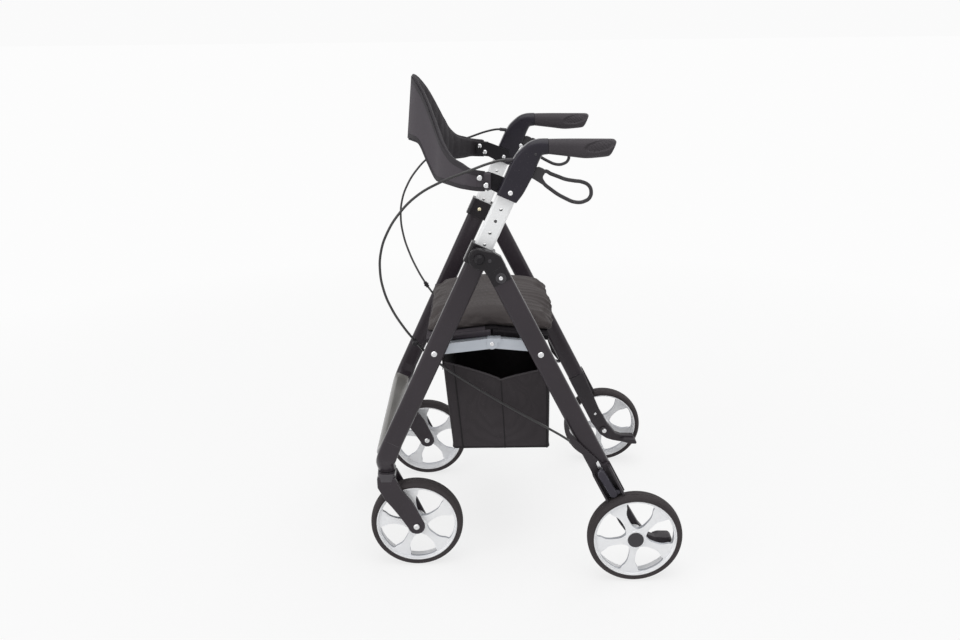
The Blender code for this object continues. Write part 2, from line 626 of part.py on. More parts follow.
def build_rear_wheel_brackets(frame):
    n_front = REAR_SET_BACK - TUBE_WIDTH / 2
    n_rear = REAR_SET_BACK + TUBE_WIDTH / 2
    top = REAR_TUBE_END + CLEARANCE
    for side, sign in SIDES:
        y = sign * REAR_LEG_Y
        inner = y - sign * TUBE_DEPTH / 2
        outline = [rear(top, n_rear), rear(top, n_front)]
        outline += [rear(REAR_AXLE_S + down, REAR_AXLE_N + behind) for down, behind in AROUND_AXLE]
        bracket = plate(outline, inner + sign * CLEARANCE, inner + sign * BRACKET_WIDTH, MOULDED_ROUND)
        bracket = united(bracket, flat_bar(rear, REAR_TUBE_END - BRACKET_TONGUE, REAR_TUBE_END + 0.006, y,
                                           TUBE_WIDTH - 2 * TUBE_WALL - 2 * CLEARANCE,
                                           TUBE_DEPTH - 2 * TUBE_WALL - 2 * CLEARANCE,
                                           TUBE_CORNER - TUBE_WALL - CLEARANCE, REAR_SET_BACK))
        bracket = cut(bracket, disc(*REAR_AXLE, AXLE_RADIUS + BOLT_SLACK, y - TUBE_DEPTH, y + TUBE_DEPTH))
        piece("rear_bracket_" + side, bracket, frame, PLASTIC, 0.5)

        wheel_face = sign * (REAR_WHEEL_Y + BOSS_WIDTH / 2)
        cap_seat = wheel_face + sign * CLEARANCE
        axle = disc(*REAR_AXLE, AXLE_CAP_RADIUS, cap_seat, cap_seat + sign * AXLE_CAP_HEIGHT, 24)
        nut_seat = inner - sign * CLEARANCE
        axle = united(axle, disc(*REAR_AXLE, AXLE_RADIUS, nut_seat - sign * HEAD_HEIGHT / 2,
                                 cap_seat + sign * AXLE_CAP_HEIGHT / 2),
                      disc(*REAR_AXLE, AXLE_NUT_RADIUS, nut_seat - sign * HEAD_HEIGHT, nut_seat))
        piece("rear_axle_" + side, axle, frame, (0.06, 0.055, 0.06), 0.5)

        # Brake housing: a plate on the leg's outer face with two cheeks, and the cable guard above it
        outer = y + sign * TUBE_DEPTH / 2
        reach = WHEEL_RADIUS + TYRE_CLEARANCE
        arc = []
        for n in (n_front, 0.008, 0.018, 0.029, n_rear + 0.002):
            arc.append(rear(REAR_AXLE_S - math.sqrt(reach ** 2 - (n - REAR_AXLE_N) ** 2), n))
        guard = [rear(REAR_TUBE_END - 0.002, n_rear + 0.002), rear(REAR_TUBE_END - 0.002, 0.026),
                 rear(REAR_TUBE_END - 0.015, 0.0215), rear(GUARD_TOP + 0.051, 0.0015),
                 rear(GUARD_TOP + 0.030, n_front - 0.0010), rear(GUARD_TOP, n_front + 0.0010),
                 rear(GUARD_TOP + 0.016, n_front - 0.55 * GUARD_BULGE),
                 rear(GUARD_TOP + 0.046, n_front - GUARD_BULGE),
                 rear(GUARD_TOP + 0.068, n_front - 0.55 * GUARD_BULGE), rear(GUARD_TOP + 0.083, n_front)]
        plate_start = outer + sign * CLEARANCE
        plate_end = plate_start + sign * HOUSING_PLATE
        cheek_end = plate_start + sign * HOUSING_CHEEK
        housing = plate(arc + guard, plate_start, plate_end)
        cheek_top = REAR_TUBE_END + 0.001
        for low, high in ((n_front + JOIN_STEP, n_front + CHEEK_WALL), (n_rear - CHEEK_WALL, n_rear)):
            ends = [REAR_AXLE_S - JOIN_STEP - math.sqrt(reach ** 2 - (n - REAR_AXLE_N) ** 2)
                    for n in (low, high)]
            cheek = [rear(cheek_top, low), rear(cheek_top, high), rear(ends[1], high), rear(ends[0], low)]
            housing = united(housing, plate(cheek, plate_end - sign * 0.001, cheek_end))
        arm_pin = arm_pivot()
        housing = cut(housing, disc(*arm_pin, ARM_PIN + BOLT_SLACK, outer, cheek_end))
        piece("brake_housing_" + side, housing, frame, PLASTIC, 0.45)


def arm_end():
    # Centre of the brake arm's lower round end, just above the tyre
    s = REAR_AXLE_S - WHEEL_RADIUS - SHOE_GAP - ARM_HALF_WIDTH
    return (s, REAR_SET_BACK)


def arm_pivot():
    s, n = arm_end()
    return rear(s, n + ARM_PIVOT_OFFSET)


def build_brake_arm(frame, side, sign):
    s_end, n_end = arm_end()
    s_top = s_end - ARM_LENGTH
    n_top = n_end - 0.003
    lean = math.atan2(n_end - n_top, ARM_LENGTH)
    outline = []
    for s, n, start in ((s_top, n_top, 90), (s_end, n_end, -90)):
        for step in range(9):
            angle = math.radians(start + 180 * step / 8) + lean
            outline.append(rear(s + ARM_HALF_WIDTH * math.cos(angle), n + ARM_HALF_WIDTH * math.sin(angle)))
    arm_start = sign * (REAR_WHEEL_Y - ARM_THICKNESS / 2)
    arm_stop = sign * (REAR_WHEEL_Y + ARM_THICKNESS / 2)
    arm = plate(outline, arm_start, arm_stop, 0.0015)
    pivot = arm_pivot()
    ear = [rear(s_end - 0.006, n_end), rear(s_end + 0.0045, n_end)]
    ear += [rear(s_end + ARM_EAR_RADIUS * math.cos(angle),
                 n_end + ARM_PIVOT_OFFSET + ARM_EAR_RADIUS * math.sin(angle))
            for angle in (math.radians(45 * step) for step in range(5))]
    arm = united(arm, plate(ear, arm_start + sign * 0.002, arm_stop - sign * 0.002))
    pin_tip = sign * (REAR_LEG_Y + TUBE_DEPTH / 2 + 2 * CLEARANCE)
    arm = united(arm, disc(*pivot, ARM_PIN, pin_tip, arm_stop - sign * 0.003))
    piece("brake_arm_" + side, arm, frame, (0.10, 0.10, 0.12), 0.4)


def hinge_point():
    # Centre rivet of the seat links, above the line between the two leg bolts
    start = Vector(front(FRONT_LINK_S))
    end = Vector(rear(REAR_LINK_S, REAR_SET_BACK))
    share = (HINGE_X - start.x) / (end.x - start.x)
    return (HINGE_X, start.y + share * (end.y - start.y) + HINGE_LIFT)


def link_frame(start, end):
    # Mapping from (along, above) beside a link to (x, z), and the link's length
    direction = Vector(end) - Vector(start)
    length = direction.length
    direction.normalize()

    def point(along, above):
        return (start[0] + along * direction.x - above * direction.y,
                start[1] + along * direction.y + above * direction.x)

    return point, length


def link_web(point, start, end, radius):
    outline = []
    for along, first in ((start, 90), (end, -90)):
        for step in range(7):
            angle = math.radians(first + 30 * step)
            outline.append(point(along + radius * math.cos(angle), radius * math.sin(angle)))
    return outline


def build_seat_half(frame, name, start, end, leg_at_start, overhang, cushion_overhang, shade):
    # Two links with inward flanges, a board on them and half of the cushion
    point, length = link_frame(start, end)
    half = LINK_HEIGHT / 2
    link_face = FRONT_LINK_Y if leg_at_start else FRONT_LINK_Y - LINK_WALL - LINK_GAP
    rivet_room = HEAD_RADIUS + 2 * CLEARANCE
    flange_low = 0.0 if leg_at_start else rivet_room
    flange_high = length - rivet_room if leg_at_start else length
    for side, sign in SIDES:
        face = sign * link_face
        back = sign * (link_face - LINK_WALL)
        link = plate(link_web(point, 0.0, length, half), back, face)
        flange_top = half - JOIN_STEP
        flange = [point(flange_low, flange_top), point(flange_high, flange_top),
                  point(flange_high, flange_top - LINK_WALL), point(flange_low, flange_top - LINK_WALL)]
        flange_reach = sign * (BOARD_HALF_WIDTH - BOARD_LAP)
        link = united(link, plate(flange, flange_reach, face - sign * LINK_WALL / 2))
        hole = BOLT_RADIUS + BOLT_SLACK
        link = cut(link, disc(*end, hole, back - sign * LINK_WALL, face + sign * LINK_WALL))
        if leg_at_start:
            link = cut(link, disc(*start, hole, back - sign * LINK_WALL, face + sign * LINK_WALL))
        else:
            outside = sign * (FRONT_LINK_Y + CLEARANCE)
            rivet = disc(*start, BOLT_RADIUS, back + sign * LINK_WALL / 2, outside + sign * HEAD_HEIGHT / 4)
            rivet = united(rivet, disc(*start, HEAD_RADIUS, outside, outside + sign * HEAD_HEIGHT / 2))
            link = united(link, rivet)
        piece("link_" + name + "_" + side, link, frame, (0.55, 0.57, 0.60), 0.3, 1.0)

    low = half + CLEARANCE
    high = low + BOARD_THICKNESS
    board_start = -overhang if leg_at_start else CLEARANCE
    board_end = length - CLEARANCE if leg_at_start else length + overhang
    outline = [point(board_start, low), point(board_end, low), point(board_end, high),
               point(board_start, high)]
    board = plate(outline, -BOARD_HALF_WIDTH, BOARD_HALF_WIDTH)
    piece("seat_board_" + name, board, frame, shade, 0.6)
    cushion = cushion_half(point, length, high + CLEARANCE, leg_at_start, cushion_overhang)
    piece("cushion_" + name, cushion, frame, (0.055, 0.050, 0.055), 0.75)


def cushion_half(point, length, base, outer_first, overhang):
    # Crowned pad with drawn-in sides; its straight edge lies on the fold
    columns = 9
    rows = 12
    reach = length + overhang - CLEARANCE

    def along(distance):
        return distance - overhang if outer_first else length + overhang - distance

    def swell(distance, across):
        end_share = min(1.0, distance / (2.2 * CUSHION_CORNER))
        side_share = abs(across) ** 4
        return math.sqrt(max(0.0, 1 - (1 - end_share) ** 2.5)) * math.sqrt(max(0.0, 1 - side_share))

    layers = {"top": [], "bottom": []}
    for column in range(columns + 1):
        share = column / columns
        distance = reach * share ** 1.35
        corner = max(0.0, CUSHION_CORNER - distance)
        half = CUSHION_HALF_WIDTH - CUSHION_CORNER + math.sqrt(CUSHION_CORNER ** 2 - corner ** 2)
        half = max(half, CUSHION_HALF_WIDTH - CUSHION_CORNER)
        top = []
        bottom = []
        for row in range(rows + 1):
            across = math.sin(math.pi / 2 * (2 * row / rows - 1))
            x, z = point(along(distance), base + CUSHION_EDGE + CUSHION_CROWN * swell(distance, across))
            top.append((x, half * across, z))
            x, z = point(along(distance), base)
            bottom.append((x, half * across * 0.985, z))
        layers["top"].append(top)
        layers["bottom"].append(bottom)
    rings = []
    for top, bottom in zip(layers["top"], layers["bottom"]):
        rings.append(top + bottom[::-1])
    return lofted(rings)


def wheel_window(centre, angle):
    # Opening between two spokes, wide at the rim: (radius, half-width of the spokes beside it)
    flare = ((0.0310, 0.0076), (0.0450, 0.0072), (0.0590, 0.0095), (0.0715, 0.0165))
    spread = math.pi / SPOKES
    edge = [(radius, spread - math.asin(half / radius)) for radius, half in flare]
    edge = [(WINDOW_INNER, 0.6 * edge[0][1])] + edge
    edge += [(WINDOW_OUTER - 0.0015, 0.72 * edge[-1][1]), (WINDOW_OUTER, 0.36 * edge[-1][1])]
    outline = edge + [(radius, -half) for radius, half in reversed(edge)]
    return [(centre[0] + radius * math.cos(angle + half), centre[1] + radius * math.sin(angle + half))
            for radius, half in outline]


def build_wheel(frame, name, side, sign, centre, y, bore, first_spoke):
    half = WHEEL_WIDTH / 2
    # Radii at the corners of a ring whose flats touch the true circles
    seat = (RIM_RADIUS + CLEARANCE) / math.cos(math.pi / TYRE_SIDES)
    crest = WHEEL_RADIUS / math.cos(math.pi / TYRE_SIDES)
    shoulder = crest - TYRE_SHOULDER
    tread = [(seat, -half), (shoulder, -half), (crest, -TREAD_SHARE * half), (crest, TREAD_SHARE * half),
             (shoulder, half), (seat, half)]
    tyre = turned([(radius, y + offset) for radius, offset in tread], centre, TYRE_SIDES, sign)
    piece(name + "_tyre_" + side, tyre, frame, (0.05, 0.045, 0.045), 0.8)

    rim_half = RIM_WIDTH / 2
    boss_half = BOSS_WIDTH / 2
    inside = RIM_RADIUS - RIM_WALL
    web_back = WEB_FACE - WEB_THICKNESS
    section = [(bore, -boss_half), (BOSS_RADIUS, -boss_half), (BOSS_RADIUS, web_back), (inside, web_back),
               (inside, -rim_half), (RIM_RADIUS, -rim_half), (RIM_RADIUS, rim_half),
               (inside - 0.001, WEB_FACE), (BOSS_RADIUS, WEB_FACE), (BOSS_RADIUS - 0.002, boss_half),
               (bore, boss_half)]
    hub = turned([(radius, y + offset) for radius, offset in section], centre, HUB_SIDES, sign)
    for index in range(SPOKES):
        angle = math.radians(first_spoke) + math.pi * (2 * index + 1) / SPOKES
        window = plate(wheel_window(centre, angle), sign * (y + web_back - WEB_THICKNESS),
                       sign * (y + rim_half + WEB_THICKNESS))
        hub = cut(hub, window)
    piece(name + "_hub_" + side, hub, frame, (0.72, 0.73, 0.75), 0.3, 0.4)


def build_caster(frame, side, sign):
    y = sign * CASTER_Y
    arm_inside = WHEEL_WIDTH / 2 + FORK_GAP
    arm_outside = arm_inside + FORK_ARM
    bridge_top = CROWN_TOP - CROWN_HEIGHT + CROWN_SINK
    bridge_low = bridge_top - BRIDGE_HEIGHT
    front_edge = STEM_X - CROWN_RADIUS
    rear_edge = STEM_X + CROWN_RADIUS
    x_axle, z_axle = FRONT_AXLE
    outline = [(front_edge, bridge_top)]
    outline += [(front_edge + x, bridge_low + z) for x, z in ARM_SHOULDER]
    outline += [(x_axle + x, z_axle + z) for x, z in ARM_FRONT]
    for step in range(9):
        angle = math.radians(190 + 185 * step / 8)
        outline.append((x_axle + FORK_END * math.cos(angle), z_axle + FORK_END * math.sin(angle)))
    outline += [(x_axle + x, z_axle + z) for x, z in ARM_REAR]
    outline.append((rear_edge, bridge_top))
    bridge = [(front_edge, bridge_top), (front_edge, bridge_low), (rear_edge, bridge_low),
              (rear_edge, bridge_top)]
    fork = plate(bridge, y - arm_outside + JOIN_STEP, y + arm_outside - JOIN_STEP)
    fork = united(fork, plate(outline, y + arm_inside, y + arm_outside, 0.0015),
                  plate(outline, y - arm_outside, y - arm_inside, 0.0015),
                  upright(STEM_X, y, CROWN_RADIUS, bridge_top - 0.004, CROWN_TOP),
                  upright(STEM_X, y, STEM_RADIUS, CROWN_TOP - 0.002, CROWN_TOP + STEM_LENGTH, 16))
    fork = cut(fork, disc(*FRONT_AXLE, BOLT_RADIUS + BOLT_SLACK, y - 2 * arm_outside, y + 2 * arm_outside))
    piece("caster_fork_" + side, fork, frame, CHARCOAL, 0.4, 0.2)

    outside = y + sign * (arm_outside + CLEARANCE)
    nut_seat = y - sign * (arm_outside + CLEARANCE)
    bolt = dome(*FRONT_AXLE, HEAD_RADIUS, HEAD_HEIGHT, outside, sign)
    bolt = united(bolt, disc(*FRONT_AXLE, BOLT_RADIUS, nut_seat - sign * HEAD_HEIGHT / 2,
                             outside + sign * HEAD_HEIGHT / 2),
                  disc(*FRONT_AXLE, HEAD_RADIUS, nut_seat - sign * HEAD_HEIGHT, nut_seat))
    piece("front_axle_bolt_" + side, bolt, frame, (0.75, 0.75, 0.76), 0.2, 1.0)


def build_handle(frame, brakes):
    for side, sign in SIDES:
        leg_y = sign * FRONT_LEG_Y
        y = sign * HANDLE_Y
        half = HOUSING_WIDTH / 2
        bottom = -COLLAR_RISE - POST_SHOW
        post_width = TUBE_WIDTH - 2 * TUBE_WALL - 2 * CLEARANCE
        post_depth = TUBE_DEPTH - 2 * TUBE_WALL - 2 * CLEARANCE
        corner = TUBE_CORNER - TUBE_WALL - CLEARANCE
        post = flat_tube(front, bottom - POST_POCKET, POST_INSERT, leg_y, post_width, post_depth,
                         POST_WALL, corner)
        for index in range(HOLE_COUNT):
            post = cut(post, disc(*front(-index * HOLE_PITCH), HOLE_RADIUS, leg_y - TUBE_DEPTH,
                                  leg_y + TUBE_DEPTH, 8))
        piece("height_post_" + side, post, frame, (0.80, 0.81, 0.83), 0.25, 0.7)

        housing = plate([handle(x, z) for x, z in ELBOW], y - half, y + half, HOUSING_ROUND)
        bore = flat_bar(front, bottom - POST_POCKET - CLEARANCE, bottom + ELBOW_SOCKET, leg_y,
                        post_width + 2 * CLEARANCE, post_depth + 2 * CLEARANCE, corner + CLEARANCE)
        housing = cut(housing, bore)
        slot_half = LEVER_THICKNESS / 2 + LEVER_SLOT_GAP
        pivot = lever_pivot()
        slot = [(pivot[0] + x, pivot[1] + z) for x, z in LEVER_SLOT]
        housing = cut(housing, plate(slot, y - slot_half, y + slot_half))
        pin_room = LEVER_PIN_HALF + LEVER_PIN_ROOM
        housing = cut(housing, disc(*pivot, LEVER_PIN + BOLT_SLACK, y - pin_room, y + pin_room, 12))
        piece("handle_housing_" + side, housing, frame, PLASTIC, 0.4)

        rings = []
        for top, low, share in zip(GRIP_TOP, GRIP_LOW, GRIP_SHARES):
            (x_top, z_top), (x_low, z_low) = handle(*top), handle(*low)
            ring = []
            for step in range(16):
                angle = 2 * math.pi * step / 16
                across = math.copysign(abs(math.cos(angle)) ** 0.8, math.cos(angle))
                rise = 0.5 + 0.5 * math.copysign(abs(math.sin(angle)) ** 0.8, math.sin(angle))
                ring.append((x_low + (x_top - x_low) * rise, y + GRIP_HALF_WIDTH * share * across,
                             z_low + (z_top - z_low) * rise))
            rings.append(ring)
        piece("grip_" + side, lofted(rings), frame, (0.03, 0.028, 0.032), 0.6)

        # Finger loop with its root in the housing's slot and a pin across it
        outer = [tuple(point) for point in smooth_path(LEVER_LOOP[1:], 2)]
        outer = [handle(*point) for point in outer + [LEVER_LOOP[0]]]
        loop = [tuple(point) for point in smooth_path(LEVER_LOOP[2:-1], 2)]
        hole = inset([handle(*point) for point in loop], LEVER_BAR)
        half_lever = LEVER_THICKNESS / 2
        lever = plate(outer, y - half_lever, y + half_lever, 0.0015)
        lever = cut(lever, plate(hole, y - half_lever - 0.001, y + half_lever + 0.001))
        root = []
        for step in range(9):
            angle = math.radians(100 + 20 * step)
            root.append((pivot[0] + LEVER_ROOT_RADIUS * math.cos(angle),
                         pivot[1] + LEVER_ROOT_RADIUS * math.sin(angle)))
        root += [handle(*point) for point in LEVER_NECK]
        lever = united(lever, plate(root, y - half_lever, y + half_lever),
                       disc(*pivot, LEVER_PIN, y - LEVER_PIN_HALF, y + LEVER_PIN_HALF, 12))
        piece("brake_lever_" + side, lever, brakes[side], PLASTIC, 0.4)


def lever_pivot():
    return handle(*LEVER_PIVOT)


def backrest_edges():
    # Top and bottom edge of the half band, as (distance from the middle, x, z) in the handle's frame;
    # both turn straight back along the bracket at the end
    top = BACKREST_TOP + tuple((BACKREST_Y, x, z) for x, z in BACKREST_TOP_END)
    low = BACKREST_LOW + tuple((BACKREST_Y, x, z) for x, z in BACKREST_LOW_END)
    return smooth_path(top, BACKREST_STEPS), smooth_path(low, BACKREST_STEPS)


def build_backrest(frame):
    base = Vector(handle(0.0, 0.0))
    half = []
    for top, low in zip(*backrest_edges()):
        half.append([Vector((base.x + edge.y, edge.x, base.y + edge.z)) for edge in (top, low)])
    mirror = Vector((1, -1, 1))
    stations = [[edge * mirror for edge in pair] for pair in reversed(half[1:])] + half
    rings = []
    last = len(stations) - 1
    for index, (top, low) in enumerate(stations):
        before = stations[max(index - 1, 0)]
        after = stations[min(index + 1, last)]
        rise = top - low
        outward = rise.cross(after[0] + after[1] - before[0] - before[1])
        outward.normalize()
        from_end = min(index, last - index) - 2 * BACKREST_STEPS
        share = max(0.0, min(1.0, from_end / (2 * BACKREST_STEPS)))
        shoulder = BACKREST_EDGE / 2
        edge = shoulder - BACKREST_ROUND
        middle = shoulder + BACKREST_CROWN * share
        shell = ((0.0, edge), (0.06, shoulder), (0.94, shoulder), (1.0, edge))
        padding = ((1.0, edge), (0.94, shoulder), (0.5, middle), (0.06, shoulder), (0.0, edge))
        ring = [low + rise * level + outward * thick for level, thick in shell]
        ring += [low + rise * level - outward * thick for level, thick in padding]
        rings.append(ring)
    band = lofted(rings)
    for side, sign in SIDES:
        for x, z in backrest_bolts():
            band = cut(band, disc(x, z, BOLT_RADIUS + BOLT_SLACK, sign * (BACKREST_Y - BACKREST_EDGE),
                                  sign * (BACKREST_Y + BACKREST_EDGE)))
    piece("backrest", band, frame, (0.05, 0.045, 0.055), 0.7)
    for side, sign in SIDES:
        build_bracket(frame, side, sign)


def backrest_bolts():
    return [handle(x, z) for x, z in BACKREST_BOLTS]


def build_bracket(frame, side, sign):
    # Plate inside the housing, with the two bolts that hold the band's end
    housing_face = sign * (HANDLE_Y - HOUSING_WIDTH / 2 - CLEARANCE)
    back = housing_face - sign * BAR_PLATE
    bracket = plate([handle(x, z) for x, z in HOLDER], back, housing_face)
    head_seat = sign * (BACKREST_Y + BACKREST_EDGE / 2 + BACKREST_HEAD_GAP)
    for x, z in backrest_bolts():
        shank = disc(x, z, BOLT_RADIUS, back + sign * BAR_PLATE / 2, head_seat + sign * HEAD_HEIGHT / 2)
        bolt = united(dome(x, z, HEAD_RADIUS, HEAD_HEIGHT, head_seat, sign), shank)
        bracket = united(bracket, bolt)
    piece("backrest_bracket_" + side, bracket, frame, PLASTIC, 0.45)


def evenly_spaced(path, spacing):
    # The same route with its points at equal distances
    travelled = [0.0]
    for before, after in zip(path, path[1:]):
        travelled.append(travelled[-1] + (after - before).length)
    count = math.ceil(travelled[-1] / spacing)
    result = []
    index = 0
    for step in range(count):
        target = travelled[-1] * step / count
        while travelled[index + 1] < target:
            index += 1
        share = (target - travelled[index]) / (travelled[index + 1] - travelled[index])
        result.append(path[index].lerp(path[index + 1], share))
    result.append(path[-1])
    return result


def build_cable(name, points, frame):
    # Tube along a smooth curve through the route's own points, one point every three diameters
    path = evenly_spaced(smooth_path(points, CABLE_CURVE_STEPS), 6 * CABLE_RADIUS)
    curve = bpy.data.curves.new(name, "CURVE")
    curve.dimensions = "3D"
    curve.bevel_depth = CABLE_RADIUS
    curve.bevel_resolution = 2
    curve.render_resolution_u = 0
    curve.use_fill_caps = True
    spline = curve.splines.new("POLY")
    spline.points.add(len(path) - 1)
    place = Vector(frame["place"])
    for vertex, point in zip(spline.points, path):
        vertex.co = (*(point - place), 1.0)
    result = bpy.data.objects.new(name, curve)
    result.parent = frame
    curve.materials.append(material(name, (0.02, 0.02, 0.02), 0.5))
    bpy.context.scene.collection.objects.link(result)


def build_cables(handle_frame, rear_frame):
    for side, sign in SIDES:
        build_cable("cable_upper_" + side, [(x, sign * y, z) for x, y, z in UPPER_ROUTE], handle_frame)
        build_cable("cable_lower_" + side, [(x, sign * y, z) for x, y, z in LOWER_ROUTE], rear_frame)


def build_rollator():
    for leftover in list(bpy.data.objects):
        bpy.data.objects.remove(leftover)
    front_frame = body("front_frame")
    rear_frame = body("rear_frame", PIVOT_X, 0.0, PIVOT_Z, front_frame)
    build_front_frame(front_frame)
    build_bag(front_frame)
    build_rear_frame(rear_frame)
    build_rear_wheel_brackets(rear_frame)

    start = front(FRONT_LINK_S)
    middle = hinge_point()
    end = rear(REAR_LINK_S, REAR_SET_BACK)
    front_links = body("front_links", start[0], 0.0, start[1], front_frame)
    rear_links = body("rear_links", middle[0], 0.0, middle[1], front_links)
    build_seat_half(front_links, "front", start, middle, True, BOARD_FRONT, CUSHION_FRONT,
                    (0.10, 0.095, 0.10))
    build_seat_half(rear_links, "rear", middle, end, False, BOARD_REAR, CUSHION_REAR, (0.04, 0.037, 0.042))

    handle_frame = body("handle_frame", 0.0, 0.0, 0.0, front_frame)
    brakes = {}
    for side, sign in SIDES:
        x, z = lever_pivot()
        brakes[side] = body("brake_" + side, x, sign * HANDLE_Y, z, handle_frame)
    build_handle(handle_frame, brakes)
    build_backrest(handle_frame)
    build_cables(handle_frame, rear_frame)

    for side, sign in SIDES:
        caster = body("caster_" + side, STEM_X, sign * CASTER_Y, CROWN_TOP, front_frame)
        build_caster(caster, side, sign)
        front_wheel = body("front_wheel_" + side, FRONT_AXLE[0], sign * CASTER_Y, FRONT_AXLE[1], caster)
        build_wheel(front_wheel, "front", side, sign, FRONT_AXLE, CASTER_Y, BOLT_RADIUS + BOLT_SLACK,
                    FRONT_SPOKE_ANGLE)
        rear_wheel = body("rear_wheel_" + side, REAR_AXLE[0], sign * REAR_WHEEL_Y, REAR_AXLE[1], rear_frame)
        build_wheel(rear_wheel, "rear", side, sign, REAR_AXLE, REAR_WHEEL_Y, AXLE_RADIUS + BOLT_SLACK,
                    REAR_SPOKE_ANGLE)
        x, z = arm_pivot()
        arm = body("brake_arm_joint_" + side, x, sign * REAR_WHEEL_Y, z, rear_frame)
        build_brake_arm(arm, side, sign)


build_rollator()
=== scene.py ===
# Four-wheel rollator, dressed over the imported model. Metres: X towards the user, Y across, Z up.
import math

import bmesh
import bpy
from mathutils import Matrix, Vector


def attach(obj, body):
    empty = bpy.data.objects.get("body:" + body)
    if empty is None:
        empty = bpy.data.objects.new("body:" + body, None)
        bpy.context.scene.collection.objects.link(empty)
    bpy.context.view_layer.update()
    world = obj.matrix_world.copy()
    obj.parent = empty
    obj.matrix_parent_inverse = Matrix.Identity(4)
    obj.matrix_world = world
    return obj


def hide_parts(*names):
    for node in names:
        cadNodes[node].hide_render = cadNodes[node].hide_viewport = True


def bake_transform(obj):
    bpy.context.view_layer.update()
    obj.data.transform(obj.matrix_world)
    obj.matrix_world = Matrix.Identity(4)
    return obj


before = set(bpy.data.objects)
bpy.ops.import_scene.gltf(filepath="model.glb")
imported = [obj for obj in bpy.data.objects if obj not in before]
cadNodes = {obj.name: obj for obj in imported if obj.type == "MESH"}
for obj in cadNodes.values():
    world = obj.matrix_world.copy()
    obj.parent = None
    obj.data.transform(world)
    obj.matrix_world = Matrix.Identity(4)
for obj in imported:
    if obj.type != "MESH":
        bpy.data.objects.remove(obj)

scene = bpy.context.scene
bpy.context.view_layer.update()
sides = (("left", -1), ("right", 1))  # left is the side nearest the camera

# ---- Camera
camera = {"lens": 35.7475, "place": (-0.08396, -2.06236, 1.15296), "yaw": -0.17614, "pitch": 17.86959,
          "roll": -0.64404}


def placeCamera():
    data = bpy.data.cameras.new("camera")
    data.lens = camera["lens"]
    data.sensor_width = 36.0
    data.clip_end = 60.0
    lens = bpy.data.objects.new("camera", data)
    scene.collection.objects.link(lens)
    yaw, pitch, roll = (math.radians(camera[key]) for key in ("yaw", "pitch", "roll"))
    ahead = Vector((math.sin(yaw) * math.cos(pitch), math.cos(yaw) * math.cos(pitch), -math.sin(pitch)))
    across = Vector((math.cos(yaw), -math.sin(yaw), 0.0))
    upward = across.cross(ahead)
    tilted = (across * math.cos(roll) + upward * math.sin(roll), upward * math.cos(roll) - across * math.sin(roll))
    turn = Matrix((tilted[0], tilted[1], -ahead)).transposed().to_4x4()
    lens.matrix_world = Matrix.Translation(camera["place"]) @ turn
    scene.camera = lens


placeCamera()
print("camera placed")

# ---- Layout, the same figures as the solids
layout = {"foldPivot": (-0.0895, 0.6985), "crossbar": (-0.2939, 0.2576), "frontAxle": (-0.2312, 0.1),
          "rearAxle": (0.2312, 0.1), "frontLegY": 0.238, "rearLegY": 0.259, "casterY": 0.218,
          "rearWheelY": 0.2881, "rearSetBack": 0.0185, "handleY": 0.241, "stemX": -0.2922,
          "crownTop": 0.2255, "gap": 0.0003, "axleAhead": 0.0026}
pivotX, pivotZ = layout["foldPivot"]
frontLean = math.atan2(pivotX - layout["crossbar"][0], pivotZ - layout["crossbar"][1])
frontReach = math.hypot(pivotX - layout["crossbar"][0], pivotZ - layout["crossbar"][1])
rearReach = math.hypot(layout["rearAxle"][0] - pivotX, layout["rearAxle"][1] - pivotZ)
rearAxleN = layout["rearSetBack"] - layout["axleAhead"]
rearLean = (math.atan2(layout["rearAxle"][0] - pivotX, pivotZ - layout["rearAxle"][1])
            - math.asin(rearAxleN / rearReach))


def frontPoint(down, behind=0.0):
    return (pivotX - down * math.sin(frontLean) + behind * math.cos(frontLean),
            pivotZ - down * math.cos(frontLean) - behind * math.sin(frontLean))


def rearPoint(down, behind=0.0):
    return (pivotX + down * math.sin(rearLean) + behind * math.cos(rearLean),
            pivotZ - down * math.cos(rearLean) + behind * math.sin(rearLean))


handleBase = frontPoint(-0.127)


def handlePoint(x, z):
    return (handleBase[0] + x, handleBase[1] + z)


# ---- Shader groups
def newGroup(name, inputs, outputs):
    group = bpy.data.node_groups.new(name, "ShaderNodeTree")
    for label, value in inputs:
        socket = group.interface.new_socket(name=label, in_out="INPUT", socket_type="NodeSocketFloat")
        socket.default_value = value
    for label in outputs:
        group.interface.new_socket(name=label, in_out="OUTPUT", socket_type="NodeSocketFloat")
    return group, group.nodes.new("NodeGroupInput"), group.nodes.new("NodeGroupOutput")


def feed(tree, socket, value):
    if isinstance(value, bpy.types.NodeSocket):
        tree.links.new(value, socket)
    else:
        socket.default_value = value


def addNode(tree, kind, sockets=(), **settings):
    # Settings come first, since some of them decide which sockets there are
    node = tree.nodes.new(kind)
    for key, value in settings.items():
        setattr(node, key, value)
    for label, value in sockets:
        feed(tree, node.inputs[label], value)
    return node


def sums(tree, operation, first, second=0.0, clamp=False):
    return addNode(tree, "ShaderNodeMath", ((0, first), (1, second)), operation=operation,
                   use_clamp=clamp).outputs[0]


def stretch(tree, value, low, high, start=0.0, end=1.0):
    return addNode(tree, "ShaderNodeMapRange", (("Value", value), ("From Min", low), ("From Max", high),
                                                ("To Min", start), ("To Max", end))).outputs["Result"]


def objectPlace(tree):
    return tree.nodes.new("ShaderNodeTexCoord").outputs["Object"]


def cloudy(tree, scale, detail=3.0, rough=0.55):
    return addNode(tree, "ShaderNodeTexNoise", (("Scale", scale), ("Detail", detail), ("Roughness", rough),
                                                ("Vector", objectPlace(tree)))).outputs["Fac"]


